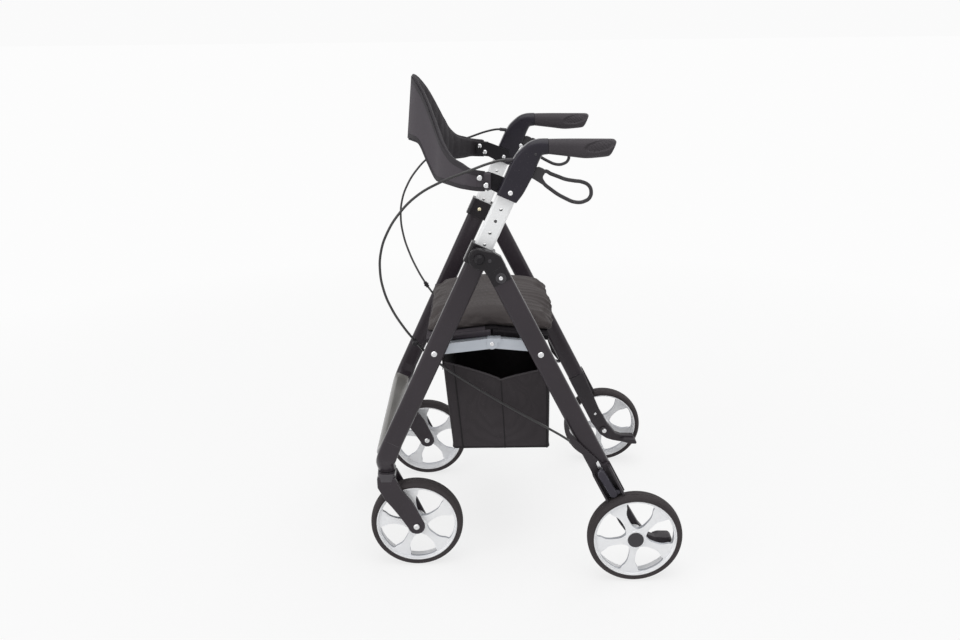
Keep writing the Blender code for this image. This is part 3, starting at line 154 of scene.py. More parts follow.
def buildGrainGroup():
    # Fine leather-like grain of moulded parts and paint
    tree, enter, leave = newGroup("moulded grain", (("Scale", 900.0), ("Soft", 0.5)), ("Height", "Pits"))
    scale, soft = enter.outputs["Scale"], enter.outputs["Soft"]
    fine = cloudy(tree, scale, 2.0)
    cell = addNode(tree, "ShaderNodeTexVoronoi", (("Vector", objectPlace(tree)),
                                                  ("Scale", scale))).outputs["Distance"]
    mixed = sums(tree, "ADD", sums(tree, "MULTIPLY", fine, soft),
                 sums(tree, "MULTIPLY", cell, sums(tree, "SUBTRACT", 1.0, soft)))
    tree.links.new(mixed, leave.inputs["Height"])
    tree.links.new(stretch(tree, cell, 0.0, 0.35, 1.0, 0.0), leave.inputs["Pits"])
    return tree


def buildRubGroup():
    # Paint rubbed thin along edges and corners
    tree, enter, leave = newGroup("edge rub", (("Radius", 0.001), ("Amount", 0.5)), ("Mask",))
    rounded = addNode(tree, "ShaderNodeBevel", (("Radius", enter.outputs["Radius"]),), samples=4)
    shape = tree.nodes.new("ShaderNodeNewGeometry")
    facing = addNode(tree, "ShaderNodeVectorMath", ((0, rounded.outputs["Normal"]), (1, shape.outputs["Normal"])),
                     operation="DOT_PRODUCT")
    edge = stretch(tree, facing.outputs["Value"], 0.995, 0.93)
    patches = stretch(tree, cloudy(tree, 70.0, 5.0, 0.7), 0.42, 0.62)
    worn = sums(tree, "MULTIPLY", sums(tree, "MULTIPLY", edge, patches), enter.outputs["Amount"], True)
    tree.links.new(worn, leave.inputs["Mask"])
    return tree


def buildWeaveGroup():
    # Plain weave: threads over and under along the three axes
    tree, enter, leave = newGroup("plain weave", (("Pitch", 0.001),), ("Height", "Gaps"))
    place = objectPlace(tree)
    uneven = addNode(tree, "ShaderNodeTexNoise", (("Scale", 60.0), ("Vector", place)))
    wobble = addNode(tree, "ShaderNodeVectorMath", operation="MULTIPLY_ADD", sockets=(
        (0, uneven.outputs["Color"]), (1, (0.0006, 0.0006, 0.0006)), (2, place)))
    split = addNode(tree, "ShaderNodeSeparateXYZ", ((0, wobble.outputs[0]),))
    turns = sums(tree, "DIVIDE", 2 * math.pi, enter.outputs["Pitch"])
    waves = [sums(tree, "SINE", sums(tree, "MULTIPLY", split.outputs[axis], turns)) for axis in "XYZ"]
    total = sums(tree, "ADD", sums(tree, "ADD", waves[0], waves[1]), waves[2])
    tree.links.new(stretch(tree, total, -3.0, 3.0), leave.inputs["Height"])
    tree.links.new(stretch(tree, total, -0.4, -1.9), leave.inputs["Gaps"])
    return tree


def buildHandlingGroup():
    # Slow changes from dust and handling
    tree, enter, leave = newGroup("handling", (("Scale", 9.0),), ("Mask", "Specks"))
    broad = stretch(tree, cloudy(tree, enter.outputs["Scale"], 4.0, 0.6), 0.3, 0.7)
    tree.links.new(broad, leave.inputs["Mask"])
    tree.links.new(stretch(tree, cloudy(tree, 420.0, 1.0), 0.68, 0.8), leave.inputs["Specks"])
    return tree


groups = {"grain": buildGrainGroup(), "rub": buildRubGroup(), "weave": buildWeaveGroup(),
          "handling": buildHandlingGroup()}

# ---- Finishes: tones are (darker, lighter), rough is (smoothest, roughest)
def finishLook(slot, dark, light, **more):
    return {"slot": slot, "tones": (dark, light), **more}


finishLooks = {
    "powderCoat": finishLook("frame_tube", (0.0275, 0.0212, 0.0268), (0.0360, 0.0288, 0.0352), rough=(0.30, 0.42),
        grain=1400.0, depth=0.05, rub=0.7, shine=0.18, bare=(0.33, 0.33, 0.34), coat=0.65),
    "nylon": finishLook("moulding", (0.011, 0.010, 0.012), (0.018, 0.016, 0.019), rough=(0.38, 0.55), grain=900.0,
        depth=0.10, rub=0.5, shine=0.18, bare=(0.12, 0.115, 0.12)),
    "anodised": finishLook("height_post", (0.93, 0.94, 0.95), (0.97, 0.975, 0.98), rough=(0.26, 0.38), shine=0.7,
        grain=2200.0, depth=0.02, rub=0.2, bare=(0.86, 0.86, 0.87)),
    "zincPaint": finishLook("link_metal", (0.44, 0.47, 0.515), (0.53, 0.56, 0.605), rough=(0.28, 0.45),
        metal=0.55, grain=1200.0, depth=0.05, rub=0.5, bare=(0.62, 0.63, 0.65)),
    "boltSteel": finishLook("bolt_metal", (0.66, 0.66, 0.67), (0.78, 0.78, 0.79), rough=(0.14, 0.30), metal=0.95,
        grain=3000.0, depth=0.01),
    "blackCap": finishLook("axle_metal", (0.042, 0.040, 0.044), (0.060, 0.056, 0.062), rough=(0.38, 0.52),
        grain=1000.0, depth=0.08, rub=0.4, bare=(0.14, 0.14, 0.15)),
    # Painted light: a lighter copy of the powder coat for the crossbar's upward faces, standing in for the overhead
    # light on them
    "crossbarLitTop": finishLook("frame_tube", (0.160, 0.154, 0.145), (0.205, 0.198, 0.188), rough=(0.34, 0.48),
        grain=1400.0, depth=0.05, rub=0.7, shine=0.4, bare=(0.33, 0.33, 0.34), coat=0.8),
    "collarNylon": finishLook("moulding", (0.0085, 0.0070, 0.0090), (0.014, 0.0115, 0.0145), rough=(0.36, 0.50),
        grain=900.0, depth=0.06, rub=0.5, shine=0.15, bare=(0.12, 0.115, 0.12), coat=0.55),
    "crownPaint": finishLook("frame_tube", (0.040, 0.034, 0.041), (0.054, 0.047, 0.055), rough=(0.26, 0.38),
        grain=1400.0, depth=0.05, shine=0.4, coat=0.8),
    "bracketNylon": finishLook("moulding", (0.030, 0.026, 0.030), (0.043, 0.037, 0.043), rough=(0.40, 0.56),
        grain=900.0, depth=0.10, rub=0.5, shine=0.25, bare=(0.16, 0.15, 0.16)),
    "leverPaint": finishLook("brake_metal", (0.022, 0.020, 0.023), (0.032, 0.029, 0.033), rough=(0.32, 0.46),
        grain=1200.0, depth=0.05, shine=0.3, coat=0.5),
    "boardGrey": finishLook("seat_board", (0.046, 0.040, 0.047), (0.060, 0.053, 0.060), rough=(0.60, 0.78),
        grain=700.0, depth=0.12, rub=0.4, shine=0.08, bare=(0.16, 0.15, 0.16)),
    "boardBlack": finishLook("seat_board", (0.009, 0.008, 0.009), (0.014, 0.012, 0.014), rough=(0.65, 0.80),
        grain=700.0, depth=0.12, rub=0.3, shine=0.05, bare=(0.08, 0.075, 0.08)),
    "seatCloth": finishLook("cushion", (0.049, 0.041, 0.041), (0.067, 0.057, 0.056), rough=(0.72, 0.90),
        weave=0.0011, depth=0.30, sheen=0.06),
    "backCloth": finishLook("backrest", (0.062, 0.054, 0.063), (0.080, 0.070, 0.081), rough=(0.62, 0.82),
        weave=0.0010, depth=0.22, sheen=0.05),
    "backTrim": finishLook("backrest", (0.026, 0.023, 0.027), (0.036, 0.032, 0.037), rough=(0.55, 0.75),
        weave=0.0008, depth=0.22, sheen=0.04),
    "bagCloth": finishLook("bag", (0.030, 0.025, 0.028), (0.042, 0.036, 0.040), rough=(0.60, 0.80), weave=0.0012,
        depth=0.30, sheen=0.05),
    "bagHem": finishLook("bag", (0.052, 0.046, 0.050), (0.070, 0.062, 0.067), rough=(0.55, 0.72), weave=0.0009,
        depth=0.30, sheen=0.05),
    "bagTape": finishLook("bag", (0.009, 0.008, 0.009), (0.015, 0.013, 0.015), rough=(0.60, 0.80), weave=0.0016,
        depth=0.35, sheen=0.04),
    "handleBody": finishLook("moulding", (0.0105, 0.0085, 0.0150), (0.0175, 0.0145, 0.0235), rough=(0.34, 0.50),
        grain=1000.0, depth=0.07, shine=0.2, coat=0.5),
    "gripRubber": finishLook("grip", (0.038, 0.033, 0.038), (0.053, 0.047, 0.053), rough=(0.48, 0.66),
        grain=800.0, depth=0.16),
    "brakePaint": finishLook("brake_metal", (0.034, 0.031, 0.042), (0.050, 0.046, 0.060), rough=(0.28, 0.44),
        metal=0.2, grain=1200.0, depth=0.05, rub=0.7, bare=(0.40, 0.41, 0.44)),
    "sheath": finishLook("cable", (0.020, 0.019, 0.020), (0.030, 0.029, 0.030), rough=(0.24, 0.38), grain=1500.0,
        depth=0.06, shine=0.5),
    "tyreRubber": finishLook("tyre", (0.039, 0.033, 0.035), (0.054, 0.047, 0.049), rough=(0.68, 0.90),
        grain=1100.0, depth=0.16, rub=0.5, bare=(0.15, 0.14, 0.135)),
    "hubSilver": finishLook("hub", (0.92, 0.93, 0.955), (0.97, 0.975, 0.985), rough=(0.30, 0.44), shine=0.5,
        grain=1600.0, depth=0.03, rub=0.3, bare=(0.60, 0.62, 0.65)),
    "backInnerDark": finishLook("backrest", (0.020, 0.017, 0.020), (0.030, 0.026, 0.031), rough=(0.66, 0.84),
        weave=0.0010, depth=0.25, sheen=0.04),
    # Painted shade: a darker grey copy of the hub silver for the side walls of the spokes, standing in for the
    # shade they fall in
    "hubWallShade": finishLook("hub", (0.42, 0.435, 0.47), (0.52, 0.535, 0.57), rough=(0.34, 0.48), metal=0.35,
        grain=1600.0, depth=0.03),
    "backSpine": finishLook("backrest", (0.085, 0.076, 0.086), (0.105, 0.094, 0.106), rough=(0.55, 0.75),
        weave=0.0008, depth=0.22, sheen=0.04),
    "brass": finishLook("bolt_metal", (0.78, 0.70, 0.48), (0.88, 0.81, 0.60), rough=(0.20, 0.36), metal=0.95,
        grain=2500.0, depth=0.02),
}


def makeFinish(name, look):
    material = bpy.data.materials.new(name)
    material.use_nodes = True
    tree = material.node_tree
    shader = tree.nodes["Principled BSDF"]
    for label, value in (("Metallic", look.get("metal", 0.0)), ("Specular IOR Level", look.get("shine", 0.25)),
                         ("Coat Weight", look.get("coat", 0.0)), ("Coat Roughness", 0.14), ("Coat IOR", 1.3),
                         ("Sheen Weight", look.get("sheen", 0.0)), ("Sheen Roughness", 0.5)):
        shader.inputs[label].default_value = value

    def place(key, **values):
        return addNode(tree, "ShaderNodeGroup", values.items(), node_tree=groups[key])

    def tint(amount, first, second):
        # Sockets 0, 6 and 7 are the colour mix's own factor and two colours
        return addNode(tree, "ShaderNodeMix", ((0, amount), (6, first), (7, second)),
                       data_type="RGBA").outputs[2]

    dark, light = ((*tone, 1.0) for tone in look["tones"])
    handling = place("handling", Scale=7.0)
    colour = tint(handling.outputs["Mask"], dark, light)
    rough = stretch(tree, handling.outputs["Mask"], 0.0, 1.0, *look["rough"])
    if "weave" in look:
        weave = place("weave", Pitch=look["weave"])
        height = weave.outputs["Height"]
        colour = tint(sums(tree, "MULTIPLY", weave.outputs["Gaps"], 0.45), colour,
                      (*(0.45 * part for part in dark[:3]), 1.0))
        distance = look["weave"] * 0.5
    else:
        grain = place("grain", Scale=look["grain"], Soft=0.6)
        height = grain.outputs["Height"]
        rough = sums(tree, "ADD", rough, sums(tree, "MULTIPLY", grain.outputs["Pits"], 0.04))
        distance = 0.6 / look["grain"]
    if "rub" in look:
        worn = place("rub", Radius=0.0012, Amount=look["rub"])
        colour = tint(worn.outputs["Mask"], colour, (*look["bare"], 1.0))
        rough = sums(tree, "SUBTRACT", rough, sums(tree, "MULTIPLY", worn.outputs["Mask"], 0.08))
    specks = sums(tree, "MULTIPLY", handling.outputs["Specks"], 0.10)
    colour = tint(specks, colour, (0.35, 0.34, 0.33, 1.0))
    bump = addNode(tree, "ShaderNodeBump", (("Strength", look["depth"]), ("Distance", distance),
                                            ("Height", height)))
    tree.links.new(colour, shader.inputs["Base Color"])
    tree.links.new(rough, shader.inputs["Roughness"])
    tree.links.new(bump.outputs["Normal"], shader.inputs["Normal"])
    return material


finishes = {name: makeFinish(name, look) for name, look in finishLooks.items()}
print("finishes made:", len(finishes))


# ---- Shaping tools
def roundEdges(bm, edges, width, segments=3):
    bmesh.ops.bevel(bm, geom=edges, offset=width, offset_type="OFFSET", segments=segments, profile=0.5,
                    affect="EDGES", clamp_overlap=True, material=-1)


def roundSharp(bm, width, segments):
    roundEdges(bm, [edge for edge in bm.edges if edge.calc_face_angle(0.0) > math.radians(60)], width, segments)


def pushOut(bm, faces, shift):
    # Extrudes the faces, and gives back the points and faces at the far end
    grown = bmesh.ops.extrude_face_region(bm, geom=faces)["geom"]
    moved = [item for item in grown if isinstance(item, bmesh.types.BMVert)]
    bmesh.ops.translate(bm, vec=shift, verts=moved)
    return moved, [item for item in grown if isinstance(item, bmesh.types.BMFace)]


def addSlab(bm, outline, yStart, yEnd, rim=0.0, corner=0.0, segments=3):
    # (x, z) outline drawn across the frame, with its corners and rims rounded
    verts = [bm.verts.new((x, yStart, z)) for x, z in outline]
    face = bm.faces.new(verts)
    moved = pushOut(bm, [face], (0.0, yEnd - yStart, 0.0))[0]
    whole = set(verts + moved)
    if corner:
        uprights = [edge for edge in bm.edges if set(edge.verts) <= whole
                    and abs(edge.verts[0].co.y - edge.verts[1].co.y) > 1e-6]
        before = set(bm.verts) - whole
        roundEdges(bm, uprights, corner, segments)
        whole = set(bm.verts) - before
    if rim:
        rims = [edge for edge in bm.edges if set(edge.verts) <= whole and not edge.is_boundary
                and abs(edge.verts[0].co.y - edge.verts[1].co.y) < 1e-7
                and edge.calc_face_angle(0.0) > math.radians(60)]
        roundEdges(bm, rims, rim, segments)


def spinRound(bm, verts, centre, axis, steps, closed=False):
    edges = [bm.edges.new(pair) for pair in zip(verts, verts[1:])]
    if closed:
        edges.append(bm.edges.new((verts[-1], verts[0])))
    bmesh.ops.spin(bm, geom=verts + edges, cent=centre, axis=axis, dvec=(0.0, 0.0, 0.0), angle=2 * math.pi,
                   steps=steps, use_merge=True, use_normal_flip=False, use_duplicate=False)


def addTurned(bm, profile, centre, sign=1, steps=48, closed=False):
    # (radius, offset) profile spun about a line across the frame
    verts = [bm.verts.new((centre[0] + radius, sign * offset, centre[1])) for radius, offset in profile]
    spinRound(bm, verts, (centre[0], 0.0, centre[1]), (0.0, 1.0, 0.0), steps, closed)


def addUpright(bm, profile, x, y, steps=48):
    # (radius, height) profile spun about a vertical line
    verts = [bm.verts.new((x + radius, y, height)) for radius, height in profile]
    spinRound(bm, verts, (x, y, 0.0), (0.0, 0.0, 1.0), steps)


def addSection(bm, point, start, y, width, depth, corner, middle=0.0):
    # Rounded rectangular section across a leg, as one face
    verts = []
    for across, deep in ((-1, -1), (1, -1), (1, 1), (-1, 1)):
        x, z = point(start, middle + across * width / 2)
        verts.append(bm.verts.new((x, y + deep * depth / 2, z)))
    bm.faces.new(verts)
    bmesh.ops.bevel(bm, geom=verts, offset=corner, segments=6, profile=0.5, affect="VERTICES",
                    clamp_overlap=True, material=-1)


def addBar(bm, point, start, end, y, width, depth, corner, middle=0.0):
    addSection(bm, point, start, y, width, depth, corner, middle)
    face = [item for item in bm.faces if abs(item.calc_center_median().y - y) < depth][-1]
    (x0, z0), (x1, z1) = point(start), point(end)
    pushOut(bm, [face], (x1 - x0, 0.0, z1 - z0))


def wrappedGrid(rows, around, place, closeEnds=True):
    # A grid rolled up: place(along, turn) puts each point, with turn 0 and 1 meeting
    bm = bmesh.new()
    bmesh.ops.create_grid(bm, x_segments=rows, y_segments=around, size=0.5)
    low = min(vert.co.x for vert in bm.verts)
    span = max(vert.co.x for vert in bm.verts) - low
    for vert in bm.verts:
        vert.co = place((vert.co.x - low) / span, (vert.co.y - low) / span)
    bmesh.ops.remove_doubles(bm, verts=bm.verts, dist=1e-6)
    if closeEnds:
        bmesh.ops.holes_fill(bm, edges=[edge for edge in bm.edges if edge.is_boundary], sides=0)
    return bm


def vectors(rows):
    return [Vector(row) for row in rows]


def mirrored(rows, sign):
    # Points written down for the right side, on the side asked for
    return [Vector((x, sign * y, z)) for x, y, z in rows]


def curveRead(a, b, c, d, t):
    return 0.5 * (2 * b + (c - a) * t + (2 * a - 5 * b + 4 * c - d) * t * t + (3 * b - a - 3 * c + d) * t ** 3)


def along(values, share):
    # Smooth reading of a short list of numbers or points between 0 and 1
    place = share * (len(values) - 1)
    index = min(int(place), len(values) - 2)
    return curveRead(*(values[min(max(index + step, 0), len(values) - 1)] for step in (-1, 0, 1, 2)), place - index)


def roundedWalk(turn, halfRun, halfSide, corner):
    # Point at a share of the way round a rectangle with rounded corners
    straights = (2 * (halfRun - corner), 2 * (halfSide - corner)) * 2
    quarter = corner * math.pi / 2
    travel = (turn % 1.0) * (sum(straights) + 4 * quarter)
    point, heading = Vector((halfRun - corner, halfSide)), math.pi
    for straight in straights:
        ahead = Vector((math.cos(heading), math.sin(heading)))
        inward = Vector((-ahead.y, ahead.x))
        if travel <= straight:
            return point + ahead * travel
        travel -= straight
        point = point + ahead * straight
        if travel <= quarter:
            swing = travel / corner
            return point + ahead * corner * math.sin(swing) + inward * corner * (1 - math.cos(swing))
        travel -= quarter
        point = point + (ahead + inward) * corner
        heading += math.pi / 2
    return point


def shade(mesh, angle=35.0):
    mesh.shade_smooth()
    mesh.set_sharp_from_angle(angle=math.radians(angle))


def addBevel(piece, width, segments, degrees):
    edges = piece.modifiers.new("edges", "BEVEL")
    edges.width = width
    edges.segments = segments
    edges.limit_method = "ANGLE"
    edges.angle_limit = math.radians(degrees)
    edges.harden_normals = True


def finishPiece(name, bm, finish, body=None, stands=(), angle=35.0):
    bmesh.ops.remove_doubles(bm, verts=bm.verts, dist=1e-6)
    bmesh.ops.recalc_face_normals(bm, faces=bm.faces)
    mesh = bpy.data.meshes.new(name)
    bm.to_mesh(mesh)
    bm.free()
    shade(mesh, angle)
    mesh.materials.append(finishes[finish])
    piece = bpy.data.objects.new(name, mesh)
    scene.collection.objects.link(piece)
    if stands:
        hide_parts(*stands)
    if body:
        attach(piece, body)
    return piece


def bakedMesh(piece):
    graph = bpy.context.evaluated_depsgraph_get()
    return bpy.data.meshes.new_from_object(piece.evaluated_get(graph))


def takeMesh(mesh):
    # The mesh as a bmesh, with the mesh itself removed
    bm = bmesh.new()
    bm.from_mesh(mesh)
    bpy.data.meshes.remove(mesh)
    return bm


def carve(piece, tool, operation="DIFFERENCE"):
    # Boolean with another mesh, applied at once
    mesh = bpy.data.meshes.new("tool")
    bmesh.ops.recalc_face_normals(tool, faces=tool.faces)
    tool.to_mesh(mesh)
    tool.free()
    cutter = bpy.data.objects.new("tool", mesh)
    scene.collection.objects.link(cutter)
    modifier = piece.modifiers.new("carve", "BOOLEAN")
    modifier.operation = operation
    modifier.solver = "EXACT"
    modifier.object = cutter
    result = bakedMesh(piece)
    piece.modifiers.remove(modifier)
    piece.data = result
    bpy.data.objects.remove(cutter)
    shade(result)


def wireMesh(name, points, radius, closed=False, steps=8, sides=4):
    # Round wire along a smooth curve through the points, as a bmesh
    curve = bpy.data.curves.new(name, "CURVE")
    curve.dimensions = "3D"
    curve.resolution_u = curve.render_resolution_u = steps
    curve.bevel_depth = radius
    curve.bevel_resolution = sides
    curve.use_fill_caps = not closed
    spline = curve.splines.new("BEZIER")
    spline.bezier_points.add(len(points) - 1)
    for knot, point in zip(spline.bezier_points, points):
        knot.co = point
        knot.handle_left_type = knot.handle_right_type = "AUTO"
    spline.use_cyclic_u = closed
    holder = bpy.data.objects.new(name, curve)
    scene.collection.objects.link(holder)
    mesh = bakedMesh(holder)
    bpy.data.objects.remove(holder)
    bpy.data.curves.remove(curve)
    return takeMesh(mesh)


def softenNode(name, finish, width, segments):
    # A CAD node keeps its shape, and gets a finish and slightly rounded edges
    node = cadNodes[name]
    node.data.materials.clear()
    node.data.materials.append(finishes[finish])
    weld = node.modifiers.new("weld", "WELD")
    weld.merge_threshold = 0.00001
    flat = node.modifiers.new("flat", "DECIMATE")
    flat.decimate_type = "DISSOLVE"
    flat.angle_limit = math.radians(0.5)
    addBevel(node, width, segments, 30)


# ---- Wheels
wheelShape = {"tyreSteps": 120, "hubSteps": 100, "spokes": 5, "frontAngle": 28.0, "rearAngle": 47.0,
              "tyre": ((0.0874, 0.0152), (0.0898, 0.0166), (0.0932, 0.0170), (0.0960, 0.0158),
                       (0.0981, 0.0130), (0.0992, 0.0098), (0.0997, 0.0062), (0.0990, 0.0056),
                       (0.0990, 0.0044), (0.0999, 0.0038), (0.1000, 0.0)),
              "windowFlare": ((0.0310, 0.0076), (0.0450, 0.0072), (0.0590, 0.0095), (0.0715, 0.0165)),
              "windowInner": 0.0235, "windowOuter": 0.0812, "hubBevel": 0.0024}


def windowOutline(centre, angle):
    # Smooth closed petal between two spokes, wider where the spokes are slim
    spread = math.pi / wheelShape["spokes"]
    edge = [Vector((radius, spread - math.asin(half / radius))) for radius, half in wheelShape["windowFlare"]]
    outer, inner = wheelShape["windowOuter"], wheelShape["windowInner"]
    knots = [Vector((inner, -0.30 * edge[0].y)), Vector((inner, 0.30 * edge[0].y))] + edge
    knots += [Vector((outer - 0.0022, 0.95 * edge[-1].y)), Vector((outer, 0.72 * edge[-1].y)),
              Vector((outer + 0.0002, 0.0)), Vector((outer, -0.72 * edge[-1].y)),
              Vector((outer - 0.0022, -0.95 * edge[-1].y))]
    knots += [Vector((radius, -half)) for radius, half in reversed(edge)]
    count = len(knots)
    outline = []
    for step in range(4 * count):
        index, t = divmod(step, 4)
        a, b, c, d = (knots[(index + shift) % count] for shift in (-1, 0, 1, 2))
        radius, swing = curveRead(a, b, c, d, t / 4)
        outline.append((centre[0] + radius * math.cos(angle + swing), centre[1] + radius * math.sin(angle + swing)))
    return outline


def makeWheel(name, side, sign, centre, y, firstSpoke):
    bm = bmesh.new()
    half = list(wheelShape["tyre"])
    profile = [(radius, y + offset) for radius, offset in half]
    profile += [(radius, y - offset) for radius, offset in reversed(half[:-1])]
    profile += [(0.0866, y - 0.0130), (0.0866, y + 0.0130)]
    addTurned(bm, profile, centre, sign, wheelShape["tyreSteps"], closed=True)
    body = name + "_wheel_" + side
    finishPiece(name + "_tyre_dressed_" + side, bm, "tyreRubber", body, [name + "_tyre_" + side], 28)

    bm = bmesh.new()
    web = ((0.0172, 0.0042), (0.0300, 0.0046), (0.0828, 0.0036), (0.0828, 0.0096), (0.0760, 0.0098),
           (0.0450, 0.0116), (0.0250, 0.0136), (0.0172, 0.0142))
    addTurned(bm, [(radius, y + offset) for radius, offset in web], centre, sign, wheelShape["hubSteps"],
              closed=True)
    hub = finishPiece(name + "_hub_dressed_" + side, bm, "hubSilver", None, [name + "_hub_" + side])
    tool = bmesh.new()
    for index in range(wheelShape["spokes"]):
        angle = math.radians(firstSpoke) + math.pi * (2 * index + 1) / wheelShape["spokes"]
        addSlab(tool, windowOutline(centre, angle), sign * (y - 0.004), sign * (y + 0.020))
    carve(hub, tool)
    addBevel(hub, wheelShape["hubBevel"], 4, 50)
    rounded = bakedMesh(hub)
    hub.modifiers.clear()
    bm = takeMesh(rounded)
    barrel = ((0.0824, 0.0040), (0.0836, 0.0015), (0.0842, -0.0140), (0.0850, -0.0155), (0.0872, -0.0155),
              (0.0872, 0.0150), (0.0866, 0.0157), (0.0854, 0.0157), (0.0846, 0.0150), (0.0838, 0.0112),
              (0.0824, 0.0092))
    boss = ((0.0070, -0.0172), (0.0165, -0.0172), (0.0178, -0.0160), (0.0178, 0.0060), (0.0186, 0.0130),
            (0.0182, 0.0165), (0.0168, 0.0172), (0.0070, 0.0172))
    for part in (barrel, boss):
        addTurned(bm, [(radius, y + offset) for radius, offset in part], centre, sign,
                  wheelShape["hubSteps"], closed=True)
    bm.to_mesh(hub.data)
    bm.free()
    shade(hub.data)
    # Painted shade: web faces that turn away from the wheel's face, the spoke and window walls, take the darker
    # grey
    hub.data.materials.append(finishes["hubWallShade"])
    for face in hub.data.polygons:
        reach = math.hypot(face.center.x - centre[0], face.center.z - centre[1])
        if abs(face.normal.y) < 0.45 and 0.020 < reach < 0.0818:
            face.material_index = 1
    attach(hub, body)


for side, sign in sides:
    makeWheel("front", side, sign, layout["frontAxle"], layout["casterY"], wheelShape["frontAngle"])
    makeWheel("rear", side, sign, layout["rearAxle"], layout["rearWheelY"], wheelShape["rearAngle"])
print("wheels made")

# ---- Frame tubes
tube = {"width": 0.041, "depth": 0.020, "corner": 0.0085, "bend": 0.040, "bendSteps": 16,
        "legTop": -0.0157, "rearTop": 0.0363, "rearEnd": 0.508}
bendStart = frontReach - tube["bend"]
behindLeg = Vector((math.cos(frontLean), 0.0, -math.sin(frontLean)))

for side, sign in sides:
    bm = bmesh.new()
    addBar(bm, frontPoint, tube["legTop"], bendStart - layout["gap"], sign * layout["frontLegY"],
           tube["width"], tube["depth"], tube["corner"])
    finishPiece("front_leg_dressed_" + side, bm, "powderCoat", "front_frame", ["frame_leg_" + side])
    bm = bmesh.new()
    addBar(bm, rearPoint, tube["rearTop"], tube["rearEnd"], sign * layout["rearLegY"], tube["width"],
           tube["depth"], tube["corner"], layout["rearSetBack"])
    finishPiece("rear_leg_dressed_" + side, bm, "powderCoat", "rear_frame", ["rear_leg_" + side])


def makeCrossbar():
    # One tube from the left leg round both bends to the right leg
    bm = bmesh.new()
    legY = layout["frontLegY"]
    addSection(bm, frontPoint, bendStart, -legY, tube["width"], tube["depth"], tube["corner"])
    end = list(bm.faces)
    for centreY in (-legY + tube["bend"], None, legY - tube["bend"]):
        ring = end + list({vert for face in end for vert in face.verts})
        ring += list({edge for face in end for edge in face.edges})
        if centreY is None:
            end = pushOut(bm, end, (0.0, 2 * (legY - tube["bend"]), 0.0))[1]
        else:
            x, z = frontPoint(bendStart)
            grown = bmesh.ops.spin(bm, geom=ring, cent=(x, centreY, z), axis=behindLeg, dvec=(0.0, 0.0, 0.0),
                                   angle=math.pi / 2, steps=tube["bendSteps"], use_merge=False,
                                   use_normal_flip=False, use_duplicate=False)["geom_last"]
            end = [item for item in grown if isinstance(item, bmesh.types.BMFace)]
    for side, sign in sides:
        # Caster head pressed through the tube, with a lip round its mouth
        mouth = layout["crownTop"] + 0.0015
        addUpright(bm, ((0.0085, mouth), (0.0180, mouth), (0.0190, mouth + 0.0010), (0.0190, mouth + 0.0045),
                        (0.0181, mouth + 0.0055), (0.0178, mouth + 0.019), (0.0085, mouth + 0.019)),
                   layout["stemX"], sign * layout["casterY"])
    bar = finishPiece("crossbar_dressed", bm, "powderCoat", "front_frame", ["frame_crossbar"])
    # Painted light: the upward faces of the crossbar's straight run take the lighter copy, standing in for the
    # overhead light on them
    bar.data.materials.append(finishes["crossbarLitTop"])
    for face in bar.data.polygons:
        if face.normal.z > 0.7 and abs(face.center.y) < legY - tube["bend"] / 2:
            face.material_index = 1


makeCrossbar()

# Cast foot that leads each leg into its caster head
foot = {"bend": 0.004, "centres": ((-0.2885, 0.2640, 0.2335), (-0.2935, 0.2450, 0.2235), (-0.2922, 0.2274, 0.2180)),
        "sizes": ((0.0207, 0.0103, 0.0087), (0.0208, 0.0125, 0.0080), (0.0202, 0.0175, 0.0145),
                  (0.0184, 0.0184, 0.0183)),
        "leans": (1.0, 0.85, 0.30, 0.0)}
footCentres = [Vector((*frontPoint(bendStart - foot["bend"]), layout["frontLegY"]))]
footCentres += vectors(foot["centres"])
footSizes = vectors(foot["sizes"])


def footPlace(sign, share, turn):
    centre, size = along(footCentres, share), along(footSizes, share)
    lean = frontLean * along(foot["leans"], share)
    walk = roundedWalk(turn, size.x, size.y, min(size.z, size.x - 0.0001, size.y - 0.0001))
    return Vector((centre.x + walk.x * math.cos(lean), sign * (centre.z + walk.y),
                   centre.y - walk.x * math.sin(lean)))


for side, sign in sides:
    bm = wrappedGrid(48, 72, lambda share, turn: footPlace(sign, share, turn))
    roundSharp(bm, 0.0010, 3)
    finishPiece("front_foot_" + side, bm, "powderCoat", "front_frame", angle=50)
print("frame tubes made")

# ---- Fasteners
fastener = {"radius": 0.0065, "height": 0.0036, "shank": 0.004, "collar": 0.006, "socket": 0.42,
            "frontShank": 0.2217, "frontCollar": 0.2253, "frontInner": 0.2222, "rearCollar": 0.2225,
            "axleRadius": 0.0068, "axleCollar": 0.008}


def headProfile(radius, height, seat, sink=0.0004):
    # Domed head with a round socket, from its underside on the axis to the socket's floor
    socket = fastener["socket"] * radius
    return [(0.0, seat - sink), (radius, seat - sink), (radius, seat + 0.22 * height),
            (0.94 * radius, seat + 0.52 * height), (0.78 * radius, seat + 0.80 * height),
            (0.58 * radius, seat + 0.96 * height), (socket + 0.0002, seat + height),
            (socket, seat + 0.93 * height), (socket * 0.96, seat + 0.35 * height), (0.0, seat + 0.30 * height)]


def addCylinder(bm, centre, radius, start, end, sign, steps=32, edge=0.0002):
    addTurned(bm, [(0.0, start), (radius - edge, start), (radius, start + math.copysign(edge, end - start)),
                   (radius, end - math.copysign(edge, end - start)), (radius - edge, end), (0.0, end)],
              centre, sign, steps)


def addHead(bm, centre, seat, sign, radius=None, height=None):
    addTurned(bm, headProfile(radius or fastener["radius"], height or fastener["height"], seat), centre, sign, 40)


